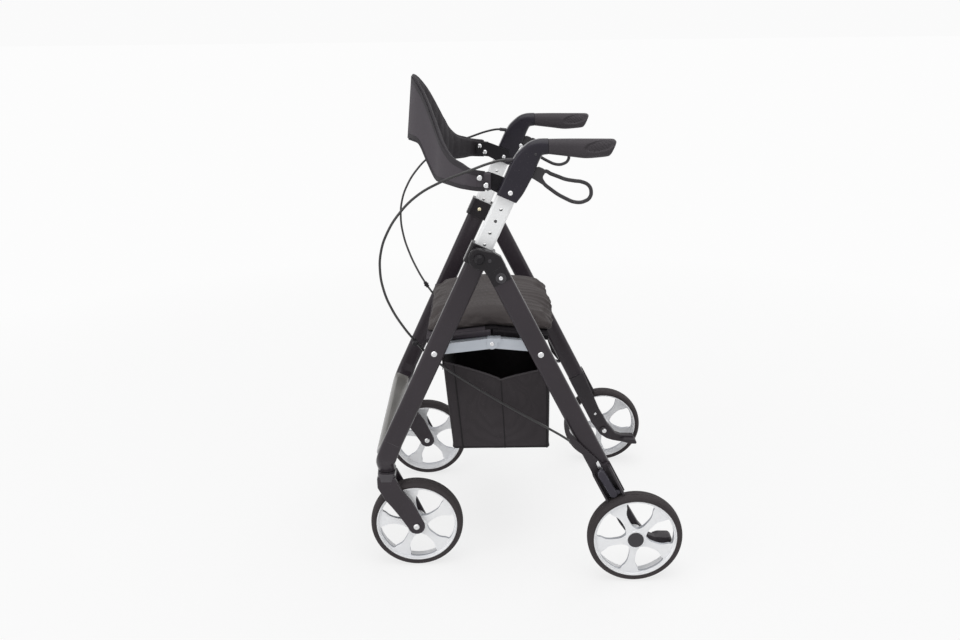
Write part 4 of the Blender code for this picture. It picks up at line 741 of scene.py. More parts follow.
outerFront = layout["frontLegY"] + tube["depth"] / 2
innerFront = layout["frontLegY"] - tube["depth"] / 2
outerRear = layout["rearLegY"] + tube["depth"] / 2
innerRear = layout["rearLegY"] - tube["depth"] / 2
gap = layout["gap"]
frontLink = frontPoint(0.2225)
rearLink = rearPoint(0.2316, layout["rearSetBack"])
for side, sign in sides:
    bm = bmesh.new()
    addHead(bm, frontLink, outerFront + gap, sign)
    addCylinder(bm, frontLink, fastener["shank"], fastener["frontShank"], outerFront, sign)
    addCylinder(bm, frontLink, fastener["collar"], fastener["frontCollar"], innerFront - gap, sign)
    addHead(bm, frontLink, -(fastener["frontInner"] - gap), -sign)
    finishPiece("front_link_screw_" + side, bm, "boltSteel", "front_frame", ["link_bolt_front_" + side])
    bm = bmesh.new()
    addHead(bm, rearLink, outerRear + gap, sign)
    addCylinder(bm, rearLink, fastener["shank"], innerRear - 0.001, outerRear, sign)
    addCylinder(bm, rearLink, fastener["collar"], fastener["rearCollar"], innerRear - gap, sign)
    finishPiece("rear_link_screw_" + side, bm, "boltSteel", "rear_frame", ["link_bolt_rear_" + side])
    bm = bmesh.new()
    forkOut = 0.017 + 0.003 + 0.006  # half the tyre, the gap and the cheek
    axle, forkY = layout["frontAxle"], layout["casterY"]
    addHead(bm, axle, forkY + forkOut + gap, sign, fastener["axleRadius"])
    addCylinder(bm, axle, fastener["shank"], forkY - forkOut, forkY + forkOut, sign)
    addHead(bm, axle, -(forkY - forkOut - gap), -sign, fastener["axleRadius"])
    finishPiece("front_axle_screw_" + side, bm, "boltSteel", "caster_" + side, ["front_axle_bolt_" + side])
    # Rear hub cap over the axle nut
    bm = bmesh.new()
    seat = layout["rearWheelY"] + 0.0175 + gap
    addTurned(bm, [(0.0, seat), (0.0158, seat), (0.0168, seat + 0.0008), (0.0166, seat + 0.0020),
                   (0.0155, seat + 0.0029), (0.0120, seat + 0.0034), (0.0, seat + 0.0036)],
              layout["rearAxle"], sign, 64)
    addCylinder(bm, layout["rearAxle"], fastener["collar"], innerRear - 0.002, seat + 0.001, sign)
    addCylinder(bm, layout["rearAxle"], fastener["axleCollar"], innerRear - 0.0038, innerRear - gap, sign)
    finishPiece("rear_hub_cap_" + side, bm, "blackCap", "rear_frame", ["rear_axle_" + side])

# ---- Solids that keep their shape
keptSolids = (("collar", "collarNylon", 0.0022, 4), ("lock_bolt", "nylon", 0.0006, 2),
              ("hinge_bracket", "collarNylon", 0.0010, 3), ("rear_bracket", "bracketNylon", 0.0010, 3),
              ("brake_housing", "bracketNylon", 0.0007, 3), ("brake_arm", "brakePaint", 0.0008, 3),
              ("height_post", "anodised", 0.0003, 2), ("backrest_bracket", "nylon", 0.0006, 2),
              ("caster_fork", "powderCoat", 0.0012, 3), ("link_front", "zincPaint", 0.0003, 2),
              ("link_rear", "zincPaint", 0.0003, 2))
for side, sign in sides:
    for name, *settings in keptSolids:
        softenNode(name + "_" + side, *settings)
softenNode("seat_board_front", "boardGrey", 0.0012, 3)
softenNode("seat_board_rear", "boardBlack", 0.0012, 3)
print("solids finished")

# ---- Handles
elbow = {"outer": ((-0.0185, 0.0075), (-0.0045, 0.0378), (0.0096, 0.0681), (0.0155, 0.0778), (0.0215, 0.0865),
                   (0.0325, 0.0970), (0.0445, 0.1058), (0.0580, 0.1105), (0.0690, 0.1116), (0.0791, 0.1116)),
         "inner": ((0.0190, -0.0095), (0.0322, 0.0082), (0.0440, 0.0298), (0.0508, 0.0420), (0.0530, 0.0475),
                   (0.0565, 0.0558), (0.0600, 0.0640), (0.0640, 0.0725), (0.0690, 0.0800), (0.0791, 0.0816)),
         "corner": (0.0045, 0.0045, 0.0050, 0.0060, 0.0070, 0.0085, 0.0105, 0.0120, 0.0135, 0.0142),
         "halfWidth": 0.015, "slot": 0.0097}
grip = {"top": ((0.0797, 0.1106), (0.1010, 0.1108), (0.1260, 0.1107), (0.1560, 0.1103), (0.1860, 0.1099),
                (0.2030, 0.1092), (0.2083, 0.1052)),
        "low": ((0.0797, 0.0822), (0.1000, 0.0797), (0.1230, 0.0768), (0.1510, 0.0736), (0.1780, 0.0751),
                (0.1930, 0.0770), (0.1973, 0.0800)),
        "share": (0.86, 0.89, 0.94, 1.0, 1.0, 0.95, 0.80), "halfWidth": 0.0175,
        "padDepth": 0.0036, "ribs": 9, "ribHeight": 0.0012}
lever = {"loop": ((0.0668, 0.0400), (0.0735, 0.0492), (0.0860, 0.0442), (0.0980, 0.0396), (0.1133, 0.0338),
                  (0.1300, 0.0306), (0.1450, 0.0283), (0.1580, 0.0215), (0.1631, 0.0097), (0.1604, -0.0025),
                  (0.1520, -0.0088), (0.1366, -0.0113), (0.1110, -0.0018), (0.0840, 0.0158), (0.0712, 0.0275)),
         "root": ((0.0500, 0.0362), (0.0642, 0.0273), (0.0700, 0.0236), (0.0735, 0.0262), (0.0702, 0.0330),
                  (0.0700, 0.0400), (0.0745, 0.0470), (0.0770, 0.0505), (0.0690, 0.0555), (0.0625, 0.0580),
                  (0.0560, 0.0570)),
         "thick": 0.0037, "pivot": (0.0440, 0.0460)}


gripTop, gripLow = vectors(grip["top"]), vectors(grip["low"])


def gripPlace(y, share, turn):
    top, low = along(gripTop, share), along(gripLow, share)
    angle = 2 * math.pi * turn
    side = math.copysign(abs(math.cos(angle)) ** 0.85, math.cos(angle))
    rise = 0.5 + 0.5 * math.copysign(abs(math.sin(angle)) ** 0.85, math.sin(angle))
    middle = low + (top - low) * rise
    reach = grip["halfWidth"] * along(grip["share"], share)
    # Thumb pads dished into both cheeks near the end, with a few ribs
    padX = (middle.x - 0.175) / 0.029
    padZ = (middle.y - 0.0975 - 0.14 * (middle.x - 0.175)) / 0.0105
    inside = max(0.0, 1.0 - padX ** 2 - padZ ** 2)
    if inside > 0 and abs(side) > 0.25:
        reach -= grip["padDepth"] * min(1.0, 3.0 * inside)
        wave = math.cos(2 * math.pi * grip["ribs"] * (padX + 0.35 * padZ) / 2)
        if abs(padX) < 0.62:
            reach += grip["ribHeight"] * max(0.0, wave) * min(1.0, 3 * inside)
    x, z = handlePoint(middle.x, middle.y)
    return Vector((x, y + reach * side, z))


elbowOuter, elbowInner = vectors(elbow["outer"]), vectors(elbow["inner"])


def elbowPlace(y, share, turn):
    outer, inner = along(elbowOuter, share), along(elbowInner, share)
    half = (outer - inner).length / 2
    walk = roundedWalk(turn, elbow["halfWidth"], half, along(elbow["corner"], share))
    middle = (outer + inner) / 2 + (outer - inner).normalized() * walk.y
    x, z = handlePoint(middle.x, middle.y)
    return Vector((x, y + walk.x, z))


def makeHandle(side, sign):
    y = sign * layout["handleY"]
    bm = wrappedGrid(90, 72, lambda share, turn: elbowPlace(y, share, turn))
    housing = finishPiece("handle_elbow_" + side, bm, "handleBody", None, ["handle_housing_" + side], 50)
    px, pz = handlePoint(*lever["pivot"])
    slot = [(px - 0.0125, pz + 0.0165), (px + 0.060, pz + 0.022), (px + 0.040, pz - 0.060),
            (px - 0.0125, pz - 0.0105)]
    tool = bmesh.new()
    addSlab(tool, slot, y - elbow["slot"] / 2, y + elbow["slot"] / 2)
    carve(housing, tool)
    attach(housing, "handle_frame")

    bm = wrappedGrid(150, 88, lambda share, turn: gripPlace(y, share, turn))
    ends = [face for face in bm.faces if len(face.verts) > 8]
    roundEdges(bm, list({edge for face in ends for edge in face.edges}), 0.0012, 3)
    finishPiece("grip_dressed_" + side, bm, "gripRubber", "handle_frame", ["grip_" + side], 50)

    # Finger loop and the flat root that turns on the pin
    points = [(handlePoint(x, z)[0], y, handlePoint(x, z)[1]) for x, z in lever["loop"]]
    bm = wireMesh("loop", points, lever["thick"], closed=True, steps=10, sides=5)
    root = [(px + 0.0085 * math.cos(angle), pz + 0.0085 * math.sin(angle))
            for angle in (math.radians(85 + 20 * step) for step in range(10))]
    root += [handlePoint(x, z) for x, z in lever["root"]]
    addSlab(bm, root, y - 0.0040, y + 0.0040, rim=0.0014, corner=0.0012)
    addCylinder(bm, (px, pz), 0.003, y * sign - 0.011, y * sign + 0.011, sign)
    finishPiece("brake_loop_" + side, bm, "leverPaint", "brake_lever_" + side, ["brake_lever_" + side])


for side, sign in sides:
    makeHandle(side, sign)

# Bright screws of the backrest brackets and the handle housings
screws = (((-0.0512, 0.0377), 0.2411, 1, 0.0056, 0.0034), ((-0.0512, 0.0377), 0.2214, -1, 0.0056, 0.0034),
          ((-0.0388, 0.0233), 0.2411, 1, 0.0056, 0.0034), ((-0.0388, 0.0233), 0.2214, -1, 0.0056, 0.0034),
          ((0.0073, 0.0106), 0.2562, 1, 0.0050, 0.0024), ((0.0060, 0.0117), 0.2214, -1, 0.0046, 0.0026),
          ((0.0469, 0.0371), 0.2258, -1, 0.0046, 0.0024))  # place, seat, outward or inward, radius, height
plug = ((0.0551, 0.0838), 0.2560, 1, 0.0027, 0.0010)
for side, sign in sides:
    for name, finish, heads in (("screws", "boltSteel", screws), ("plug", "blackCap", (plug,))):
        bm = bmesh.new()
        for place, rest, out, radius, height in heads:
            addHead(bm, handlePoint(*place), out * rest, out * sign, radius, height)
        finishPiece("handle_" + name + "_" + side, bm, finish, "handle_frame")
print("handles made")

# ---- Backrest
backrest = {
    "top": ((0.0, -0.1874, 0.2158), (0.030, -0.1792, 0.2076), (0.060, -0.1635, 0.1834),
            (0.090, -0.1485, 0.1520), (0.120, -0.1354, 0.1201), (0.150, -0.1230, 0.0919),
            (0.180, -0.1049, 0.0691), (0.207, -0.0839, 0.0591), (0.2265, -0.0689, 0.0522),
            (0.2325, -0.0539, 0.0490), (0.2325, -0.0299, 0.0461)),
    "low": ((0.0, -0.1997, 0.0843), (0.030, -0.1899, 0.0848), (0.060, -0.1739, 0.0796),
            (0.090, -0.1569, 0.0473), (0.120, -0.1399, 0.0183), (0.150, -0.1269, 0.0171),
            (0.180, -0.1079, 0.0159), (0.207, -0.0879, 0.0143), (0.2265, -0.0714, 0.0150),
            (0.2325, -0.0544, 0.0138), (0.2325, -0.0299, 0.0130)),
    "thick": 0.009, "crown": 0.0065, "rows": 168, "around": 44, "ribs": 13, "ribDepth": 0.0011}


def mirroredEdge(rows):
    half = [Vector((handleBase[0] + x, y, handleBase[1] + z)) for y, x, z in rows]
    flipped = [Vector((point.x, -point.y, point.z)) for point in reversed(half[1:])]
    return flipped + half


backTop, backLow = mirroredEdge(backrest["top"]), mirroredEdge(backrest["low"])


def bandFrame(share):
    # Edges of the band and the way it faces at a share of its length
    top, low = along(backTop, share), along(backLow, share)
    step = 0.004
    before, after = max(share - step, 0.0), min(share + step, 1.0)
    run = along(backTop, after) + along(backLow, after) - along(backTop, before) - along(backLow, before)
    outward = (top - low).cross(run)
    outward.normalize()
    return top, low, outward


def bandPlace(share, turn):
    top, low, outward = bandFrame(share)
    height = (top - low).length
    half = backrest["thick"] / 2
    reach = turn * 2
    inner = reach > 1.0
    level = 2.0 - reach if inner else reach
    fromEdge = min(level, 1.0 - level) * height
    walk = math.sqrt(max(0.0, 1.0 - (1.0 - min(1.0, fromEdge / half)) ** 2))
    deep = half * walk
    if inner:
        fromEnd = min(share, 1.0 - share)
        padded = min(1.0, max(0.0, (fromEnd - 0.10) / 0.10))
        swell = math.sin(math.pi * level) ** 0.7
        rib = abs(math.sin(math.pi * backrest["ribs"] * 2 * share)) ** 0.5
        deep += padded * swell * (backrest["crown"] - backrest["ribDepth"] * 2 * (1.0 - rib))
        deep = -deep
    return low + (top - low) * level + outward * deep


def makeBackrest():
    bm = wrappedGrid(backrest["rows"], backrest["around"], bandPlace)
    cover = finishPiece("backrest_cover", bm, "backCloth", "handle_frame", ["backrest"], 60)
    # The band's inner face takes a darker cloth than its outer face
    cover.data.materials.append(finishes["backInnerDark"])
    for face in cover.data.polygons:
        away = face.center - Vector((0.05, 0.0, face.center.z))
        if face.normal.dot(away) < 0:
            face.material_index = 1
    # Piping round both long edges, in the middle of the band's thickness
    for name, level in (("top", 1.0), ("low", 0.0)):
        points = []
        for step in range(61):
            top, low, outward = bandFrame(0.025 + 0.95 * step / 60)
            points.append(low + (top - low) * level + outward * 0.0012)
        finishPiece("backrest_piping_" + name, wireMesh("piping", points, 0.0026, steps=4), "backTrim",
                    "handle_frame", angle=60)
    # Binding tape along the outside, inside the piping, and the spine strip at the middle
    for name, level, wide in (("top", 0.93, 0.0055), ("low", 0.055, 0.0042)):
        def bindingPlace(share, turn, level=level, wide=wide):
            top, low, outward = bandFrame(0.03 + 0.94 * share)
            walk = roundedWalk(turn, wide, 0.0008, 0.0007)
            centre = low + (top - low) * level + outward * (backrest["thick"] / 2 + walk.y)
            return centre + (top - low).normalized() * walk.x
        finishPiece("backrest_binding_" + name, wrappedGrid(120, 28, bindingPlace), "backTrim", "handle_frame",
                    angle=60)

    def spinePlace(share, turn):
        walk = roundedWalk(turn, 0.0060, 0.0010, 0.0009)
        topSide, lowSide, sideOut = bandFrame(0.5 + walk.x / 0.6)
        base = lowSide + (topSide - lowSide) * (0.01 + 0.98 * share)
        return base + sideOut * (backrest["thick"] / 2 + walk.y)
    finishPiece("backrest_spine", wrappedGrid(40, 32, spinePlace), "backSpine", "handle_frame", angle=60)


makeBackrest()
print("backrest made")

# ---- Seat cushion
seat = {"overFront": 0.019, "overRear": 0.036, "halfWidth": 0.1735, "corner": 0.034, "base": 0.0216,
        "edge": 0.0100, "crown": 0.0150, "side": 0.006, "rearBulge": 0.013, "rearShort": 0.005,
        "rearCorner": 0.020, "voxel": 0.005, "pressure": 4.0, "cap": 0.006, "frames": 20, "fold": 0.030,
        "rows": 90, "around": 150, "hinge": (-0.0657, 0.50969), "hingeRise": 0.0111}
seatFront = Vector((frontLink[0], 0.0, frontLink[1]))
seatRear = Vector((rearLink[0], 0.0, rearLink[1]))
hingeX = seat["hinge"][0]
hingeShare = (hingeX - seatFront.x) / (seatRear.x - seatFront.x)
seatHinge = Vector((hingeX, 0.0, seatFront.z + hingeShare * (seatRear.z - seatFront.z)
                    + seat["hingeRise"]))
frontRun, rearRun = seatHinge - seatFront, seatRear - seatHinge
hingeTravel = seat["overFront"] + frontRun.length
seatLength = hingeTravel + rearRun.length + seat["overRear"]


def seatPoint(travel, y, above):
    # Point over the seat links, from the cushion's front edge and above the links' centre line
    travel -= seat["overFront"]
    share = min(1.0, max(0.0, (travel - frontRun.length) / 0.03 + 0.5))
    direction = frontRun.normalized().lerp(rearRun.normalized(), share).normalized()
    if travel < frontRun.length:
        base = seatFront + frontRun.normalized() * travel
    else:
        base = seatHinge + rearRun.normalized() * (travel - frontRun.length)
    upward = Vector((-direction.z, 0.0, direction.x))
    return base + upward * above + Vector((0.0, y, 0.0))


def cushionPlace(share, turn, shrink):
    guess = roundedWalk(turn, seat["halfWidth"], 0.5, 0.04)
    across = guess.x / seat["halfWidth"]
    length = seatLength - seat["rearShort"] + seat["rearBulge"] * (1.0 - abs(across) ** 2.4)
    length += 0.0015 * math.sin(9.0 * across + 0.5)
    travel = shrink + (length - 2 * shrink) * share
    nearest = min(travel, length - travel)
    corner = seat["corner"] if share < 0.5 else seat["rearCorner"]
    pulled = corner - math.sqrt(max(0.0, corner ** 2 - max(0.0, corner - nearest) ** 2))
    half = seat["halfWidth"] - shrink - 0.9 * pulled
    walk = roundedWalk(turn, half, 0.5, 0.04)
    side, rise = walk.x, walk.y + 0.5
    inward = max(0.0, half - abs(side))
    swell = min(1.0, (nearest + 0.002) / 0.060) ** 0.5 * min(1.0, (inward + 0.002) / 0.050) ** 0.5
    thick = seat["edge"] + seat["crown"] * swell
    bulge = math.sin(math.pi * rise) * seat["side"] * (1.0 if inward < 0.03 else 0.0)
    return seatPoint(travel, side + math.copysign(bulge, side), seat["base"] + thick * rise)


def inflate(piece):
    # Cloth pressure on a remeshed copy, with each point's travel capped
    remesh = piece.modifiers.new("remesh", "REMESH")
    remesh.mode = "VOXEL"
    remesh.voxel_size = seat["voxel"]
    mesh = bakedMesh(piece)
    piece.modifiers.remove(remesh)
    piece.data = mesh
    rest = [vert.co.copy() for vert in mesh.vertices]
    under = piece.vertex_groups.new(name="under")
    for vert in mesh.vertices:
        if vert.normal.z < -0.75:
            under.add([vert.index], 1.0, "REPLACE")
    cloth = piece.modifiers.new("cloth", "CLOTH")
    settings = cloth.settings
    settings.quality = 5
    settings.mass = 0.3
    settings.tension_stiffness = settings.compression_stiffness = 12
    settings.shear_stiffness = 5
    settings.bending_stiffness = 0.4
    settings.use_pressure = True
    settings.uniform_pressure_force = seat["pressure"]
    settings.shrink_min = settings.shrink_max = -0.03
    settings.vertex_group_mass = "under"
    settings.effector_weights.gravity = 0.0
    cloth.point_cache.frame_start = 1
    cloth.point_cache.frame_end = seat["frames"]
    for step in range(1, seat["frames"] + 1):
        scene.frame_set(step)
    moved = bakedMesh(piece)
    piece.modifiers.remove(cloth)
    for vert, start in zip(moved.vertices, rest):
        shift = vert.co - start
        if shift.length > seat["cap"]:
            shift *= seat["cap"] / shift.length
        vert.co = start + shift
    piece.data = moved
    piece.vertex_groups.clear()
    scene.frame_set(1)


def pleats(x, y):
    # Gathers start at the rear edge and run forward, with faint creases over the whole seat
    fromRear = max(0.0, seatRear.x + seat["overRear"] - x)
    fromFront = max(0.0, x - seatFront.x + seat["overFront"])
    phase = y * 2 * math.pi / 0.0260 + 2.2 * math.sin(y * 27.0 + 0.4) + 0.9 * math.sin(x * 23.0)
    fold = 1.0 - 2.0 * abs(math.sin(phase / 2)) ** 0.8
    wide = math.sin(y * 41.0 + 0.8 + 0.7 * math.sin(x * 22.0))
    rear = (0.0021 * fold + 0.0026 * wide) * math.exp(-fromRear / 0.055)
    front = (0.0007 * fold + 0.0006 * wide) * math.exp(-fromFront / 0.030)
    slow = math.sin(y * 52.0 + 2.6 * math.sin(x * 13.0) + 1.1) * math.sin(x * 19.0 + y * 9.0)
    return rear + front + 0.0008 * slow


def blendOverSeat(piece):
    seatPoint(hingeTravel - seat["fold"], 0.0, 0.0)
    seatPoint(hingeTravel + seat["fold"], 0.0, 0.0)
    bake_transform(piece)


def makeCushion():
    bm = wrappedGrid(seat["rows"], seat["around"], lambda share, turn: cushionPlace(share, turn, 0.003))
    pad = finishPiece("seat_cushion", bm, "seatCloth", None, ["cushion_front", "cushion_rear"], 60)
    inflate(pad)
    subdivision = pad.modifiers.new("smooth", "SUBSURF")
    subdivision.levels = subdivision.render_levels = 1
    pad.data = bakedMesh(pad)
    pad.modifiers.clear()
    bm = bmesh.new()
    bm.from_mesh(pad.data)
    bmesh.ops.smooth_vert(bm, verts=bm.verts, factor=0.5, use_axis_x=True, use_axis_y=True, use_axis_z=True)
    bm.normal_update()
    for vert in bm.verts:
        level = vert.co.z - seatRear.z - seat["base"]
        if level > 0.001:
            vert.co += vert.normal * pleats(vert.co.x, vert.co.y) * min(1.0, level / 0.006)
    bm.to_mesh(pad.data)
    bm.free()
    pad.data.shade_smooth()
    blendOverSeat(pad)


makeCushion()

# Cloth tape over the joint of the two boards, and a rivet through each link hinge
seatTape = {"width": 0.012, "above": 0.0214, "thick": 0.0007, "halfWidth": 0.1918, "drop": 0.0105,
            "flapOut": 0.0017, "flapTop": 0.0218}
linkEye = {"rivetSeat": 0.2282, "rivetRadius": 0.0046, "rivetHeight": 0.0016, "radius": 0.0118,
           "inner": 0.2180, "outer": 0.2280, "edge": 0.0006, "lugBack": -0.0088, "lugAhead": 0.0165,
           "lugTop": (0.0128, 0.0134), "lugs": ((0.0040, 0.2262, 0.2279), (0.0112, 0.2092, 0.2270))}


def tapeWalk(turn):
    return roundedWalk(turn, seatTape["width"], seatTape["thick"], seatTape["thick"] * 0.8)


def tapePlace(share, turn):
    walk = tapeWalk(turn)
    return seatPoint(hingeTravel + walk.x, seatTape["halfWidth"] * (2 * share - 1), seatTape["above"] + walk.y)


blendOverSeat(finishPiece("seat_hinge_tape", wrappedGrid(60, 40, tapePlace), "boardBlack", angle=60))
for side, sign in sides:
    def flapPlace(share, turn, sign=sign):
        # Short flap of the same tape over the ends of the board joint
        walk = tapeWalk(turn)
        return seatPoint(hingeTravel + walk.x, sign * (seatTape["halfWidth"] + seatTape["flapOut"] + walk.y),
                         seatTape["flapTop"] - seatTape["drop"] * share)

    flap = finishPiece("seat_hinge_flap_" + side, wrappedGrid(16, 40, flapPlace), "boardBlack", angle=60)
    blendOverSeat(flap)
for side, sign in sides:
    bm = bmesh.new()
    addHead(bm, (hingeX, seatHinge.z), linkEye["rivetSeat"], sign, linkEye["rivetRadius"], linkEye["rivetHeight"])
    finishPiece("link_hinge_rivet_" + side, bm, "boltSteel", "rear_links")
    bm = bmesh.new()
    addCylinder(bm, seat["hinge"], linkEye["radius"], linkEye["inner"], linkEye["outer"], sign, 48, linkEye["edge"])
    # Lug of the rear link that laps over the front one above the eye
    back, ahead, (topBack, topAhead) = linkEye["lugBack"], linkEye["lugAhead"], linkEye["lugTop"]
    for low, start, end in linkEye["lugs"]:
        plate = ((back, low), (back, topBack), (ahead, topAhead), (ahead, low))
        addSlab(bm, [seatPoint(hingeTravel + run, 0.0, above).xz for run, above in plate], sign * start,
                sign * end)
    finishPiece("link_hinge_eye_" + side, bm, "zincPaint", "rear_links")

# Moulded edge of the boards, down to the flanges of the links
boardEdge = {"inner": 0.1926, "outer": 0.2086, "low": 0.0114, "high": 0.0212, "overFront": 0.0155,
             "overRear": 0.0175, "round": 0.0022}
for side, sign in sides:
    runs = (("front", seat["overFront"] - boardEdge["overFront"], hingeTravel - gap, "boardGrey"),
            ("rear", hingeTravel + gap, hingeTravel + rearRun.length + boardEdge["overRear"], "boardBlack"))
    for name, start, end, finish in runs:
        def edgePlace(share, turn, sign=sign, start=start, end=end):
            halfSide = (boardEdge["outer"] - boardEdge["inner"]) / 2
            halfRise = (boardEdge["high"] - boardEdge["low"]) / 2
            walk = roundedWalk(turn, halfSide, halfRise, boardEdge["round"])
            travel = start + (end - start) * share
            base = seatFront if name == "front" else seatHinge
            direction = (frontRun if name == "front" else rearRun).normalized()
            reach = travel - (seat["overFront"] if name == "front" else hingeTravel)
            above = boardEdge["low"] + halfRise + walk.y
            return (base + direction * reach + Vector((-direction.z, 0.0, direction.x)) * above
                    + Vector((0.0, sign * (boardEdge["inner"] + halfSide + walk.x), 0.0)))

        bm = wrappedGrid(24, 40, edgePlace)
        roundSharp(bm, 0.0009, 2)
        finishPiece("board_edge_" + name + "_" + side, bm, finish, name + "_links", angle=50)
print("cushion made")

# ---- Bag
bag = {"front": -0.169, "frontLow": -0.150, "rear": 0.056, "bottom": 0.2590, "halfWidth": 0.1895,
       "corner": 0.007, "wall": 0.0018, "frontRim": 0.460, "notchRim": 0.4170, "rearRim": 0.443,
       "notchX": -0.047, "levels": 64, "around": 320, "floorRows": 8, "seamX": -0.146}


def bagRim(x, y):
    # Height of the open edge, which dips to a notch in the middle of each side
    ahead = bag["frontRim"] if x < bag["notchX"] else bag["rearRim"]
    reach = (bag["notchX"] - bag["front"]) if x < bag["notchX"] else (bag["rear"] - bag["notchX"])
    share = min(1.0, abs(x - bag["notchX"]) / reach)
    onSide = min(1.0, max(0.0, (abs(y) - 0.155) / 0.030))
    dip = (bag["notchRim"] - ahead) * (1.0 - share ** 0.80)
    return ahead + dip * onSide - 0.007 * (1.0 - onSide) * (1.0 - (y / 0.19) ** 2)


def bagShape(x, y, level):
    # x and y at the rim, level 0 at the floor: walls lean in at the front, belly out and fold
    rim = bagRim(x, y)
    z = bag["bottom"] + (rim - bag["bottom"]) * level
    fromRear = (bag["rear"] - x) / (bag["rear"] - bag["front"])
    x += (bag["frontLow"] - bag["front"]) * (1.0 - level) * fromRear
    onEnd = min(fromRear, 1.0 - fromRear) * (bag["rear"] - bag["front"]) < 0.004
    belly = math.sin(math.pi * min(1.0, level)) ** 1.2
    below = rim - z
    if abs(y) > bag["halfWidth"] - 0.012:
        across = (1.0 - (2 * fromRear - 1.0) ** 2)
        push = 0.0035 * belly * across
        for place, tilt, width, depth in ((-0.052, -0.55, 0.013, 0.0036), (-0.034, 0.62, 0.011, 0.0030),
                                          (-0.110, 0.35, 0.012, 0.0020), (0.030, -0.50, 0.012, 0.0022),
                                          (-0.085, -0.20, 0.010, -0.0022), (0.005, 0.25, 0.012, -0.0020)):
            away = x - place - tilt * below
            push += depth * math.exp(-(away / width) ** 2) * math.exp(-below / 0.085) * min(1.0, below / 0.010)
        y += math.copysign(push * across ** 0.5, y)
    if onEnd:
        middle = 1.0 - (y / bag["halfWidth"]) ** 2
        push = 0.0050 * belly * middle
        push += 0.0014 * math.sin(31.0 * y + 20.0 * below) * math.exp(-below / 0.09) * middle
        x += push if fromRear < 0.5 else -push
    return Vector((x, y, z))


def bagRound(turn):
    half = (bag["rear"] - bag["front"]) / 2
    point = roundedWalk(turn, half, bag["halfWidth"], bag["corner"])
    return point.x + bag["rear"] - half, point.y


def bagPlace(share, turn):
    x, y = bagRound(turn)
    walls = bag["levels"] / (bag["levels"] + bag["floorRows"])
    if share >= 1.0 - walls:
        return bagShape(x, y, (share - 1.0 + walls) / walls)
    inside = share / (1.0 - walls)
    edge = bagShape(x, y, 0.0)
    middle = (bag["rear"] + bag["frontLow"]) / 2
    return Vector((middle + (edge.x - middle) * inside, edge.y * inside, edge.z))


def bagCord(name, points, radius, closed=False):
    finish = "bagHem" if name == "bag_hem" else "bagTape"
    finishPiece(name, wireMesh("cord", points, radius, closed=closed, steps=2), finish, "front_frame", angle=60)


def makeBag():
    rows = bag["levels"] + bag["floorRows"]
    bm = wrappedGrid(rows, bag["around"], bagPlace, closeEnds=False)
    bmesh.ops.holes_fill(bm, edges=[edge for edge in bm.edges if edge.is_boundary
                                    and max(vert.co.z for vert in edge.verts) < bag["bottom"] + 0.01], sides=0)
    shell = finishPiece("bag_shell", bm, "bagCloth", "front_frame", ["bag"], 50)
    wall = shell.modifiers.new("wall", "SOLIDIFY")
    wall.thickness = bag["wall"]
    wall.offset = -1.0
    for side, sign in sides:
        edge = sign * bag["halfWidth"]
        for name, x, radius in (("middle", bag["notchX"], 0.0010), ("front", bag["seamX"], 0.0015),
                                ("rear", bag["rear"] - 0.005, 0.0016)):
            points = [bagShape(x, edge, step / 24) for step in range(25)]
            bagCord("bag_seam_" + name + "_" + side, points, radius)
    bagCord("bag_hem", [bagShape(*bagRound(step / 220), 0.994) for step in range(220)], 0.0019, True)
    bagCord("bag_base_piping", [bagShape(*bagRound(step / 220), 0.012) for step in range(220)], 0.0015, True)
    # Webbing at the ends carries the bag from the seat's side rails
    for side, sign in sides:
        for name, x, top in (("front", bag["front"], 0.489), ("rear", bag["rear"] - 0.014, 0.492)):
            foot = bagShape(x, sign * 0.172, 1.0)

            def strapPlace(share, turn, foot=foot, sign=sign, top=top):
                walk = roundedWalk(turn, 0.010, 0.0008, 0.0006)
                return Vector((foot.x + walk.y, foot.y + walk.x + sign * 0.022 * share,
                               foot.z - 0.022 + (top - foot.z + 0.022) * share))
            finishPiece("bag_strap_" + name + "_" + side, wrappedGrid(14, 28, strapPlace), "bagTape",
                        "front_frame", angle=60)


makeBag()
print("bag made")

# ---- Brake cables
cable = {"radius": 0.0025,
         "upper": ((-0.0268, 0.248, 0.8858), (-0.0400, 0.251, 0.8868), (-0.0620, 0.256, 0.8834),
                   (-0.1050, 0.262, 0.8695), (-0.1640, 0.265, 0.8470), (-0.2060, 0.266, 0.8235),
                   (-0.2410, 0.266, 0.7900), (-0.2670, 0.265, 0.7500), (-0.2800, 0.262, 0.7140),
                   (-0.2840, 0.258, 0.6740), (-0.2790, 0.252, 0.6330), (-0.2660, 0.242, 0.5920),
                   (-0.2430, 0.226, 0.5450), (-0.2230, 0.2145, 0.5130)),
         "lower": ((-0.2230, 0.2145, 0.5130), (-0.2060, 0.210, 0.4910), (-0.1675, 0.209, 0.4556),
                   (-0.1080, 0.209, 0.4130), (-0.0475, 0.210, 0.3735), (0.0100, 0.214, 0.3400),
                   (0.0523, 0.222, 0.3180), (0.0850, 0.236, 0.3030), (0.1050, 0.251, 0.2940))}


def makeCables(side, sign):
    for name, bodies, ends in (("upper", ("handle_frame", "front_frame"), (1, -2)),
                               ("lower", ("front_frame", "rear_frame"), (1, -1))):
        points = mirrored(cable[name], sign)
        bm = wireMesh("cable", points, cable["radius"], steps=14, sides=5)
        piece = finishPiece("brake_cable_" + name + "_" + side, bm, "sheath", None,
                            ["cable_" + name + "_" + side], 60)
        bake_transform(piece)


for side, sign in sides:
    makeCables(side, sign)
print("cables made")

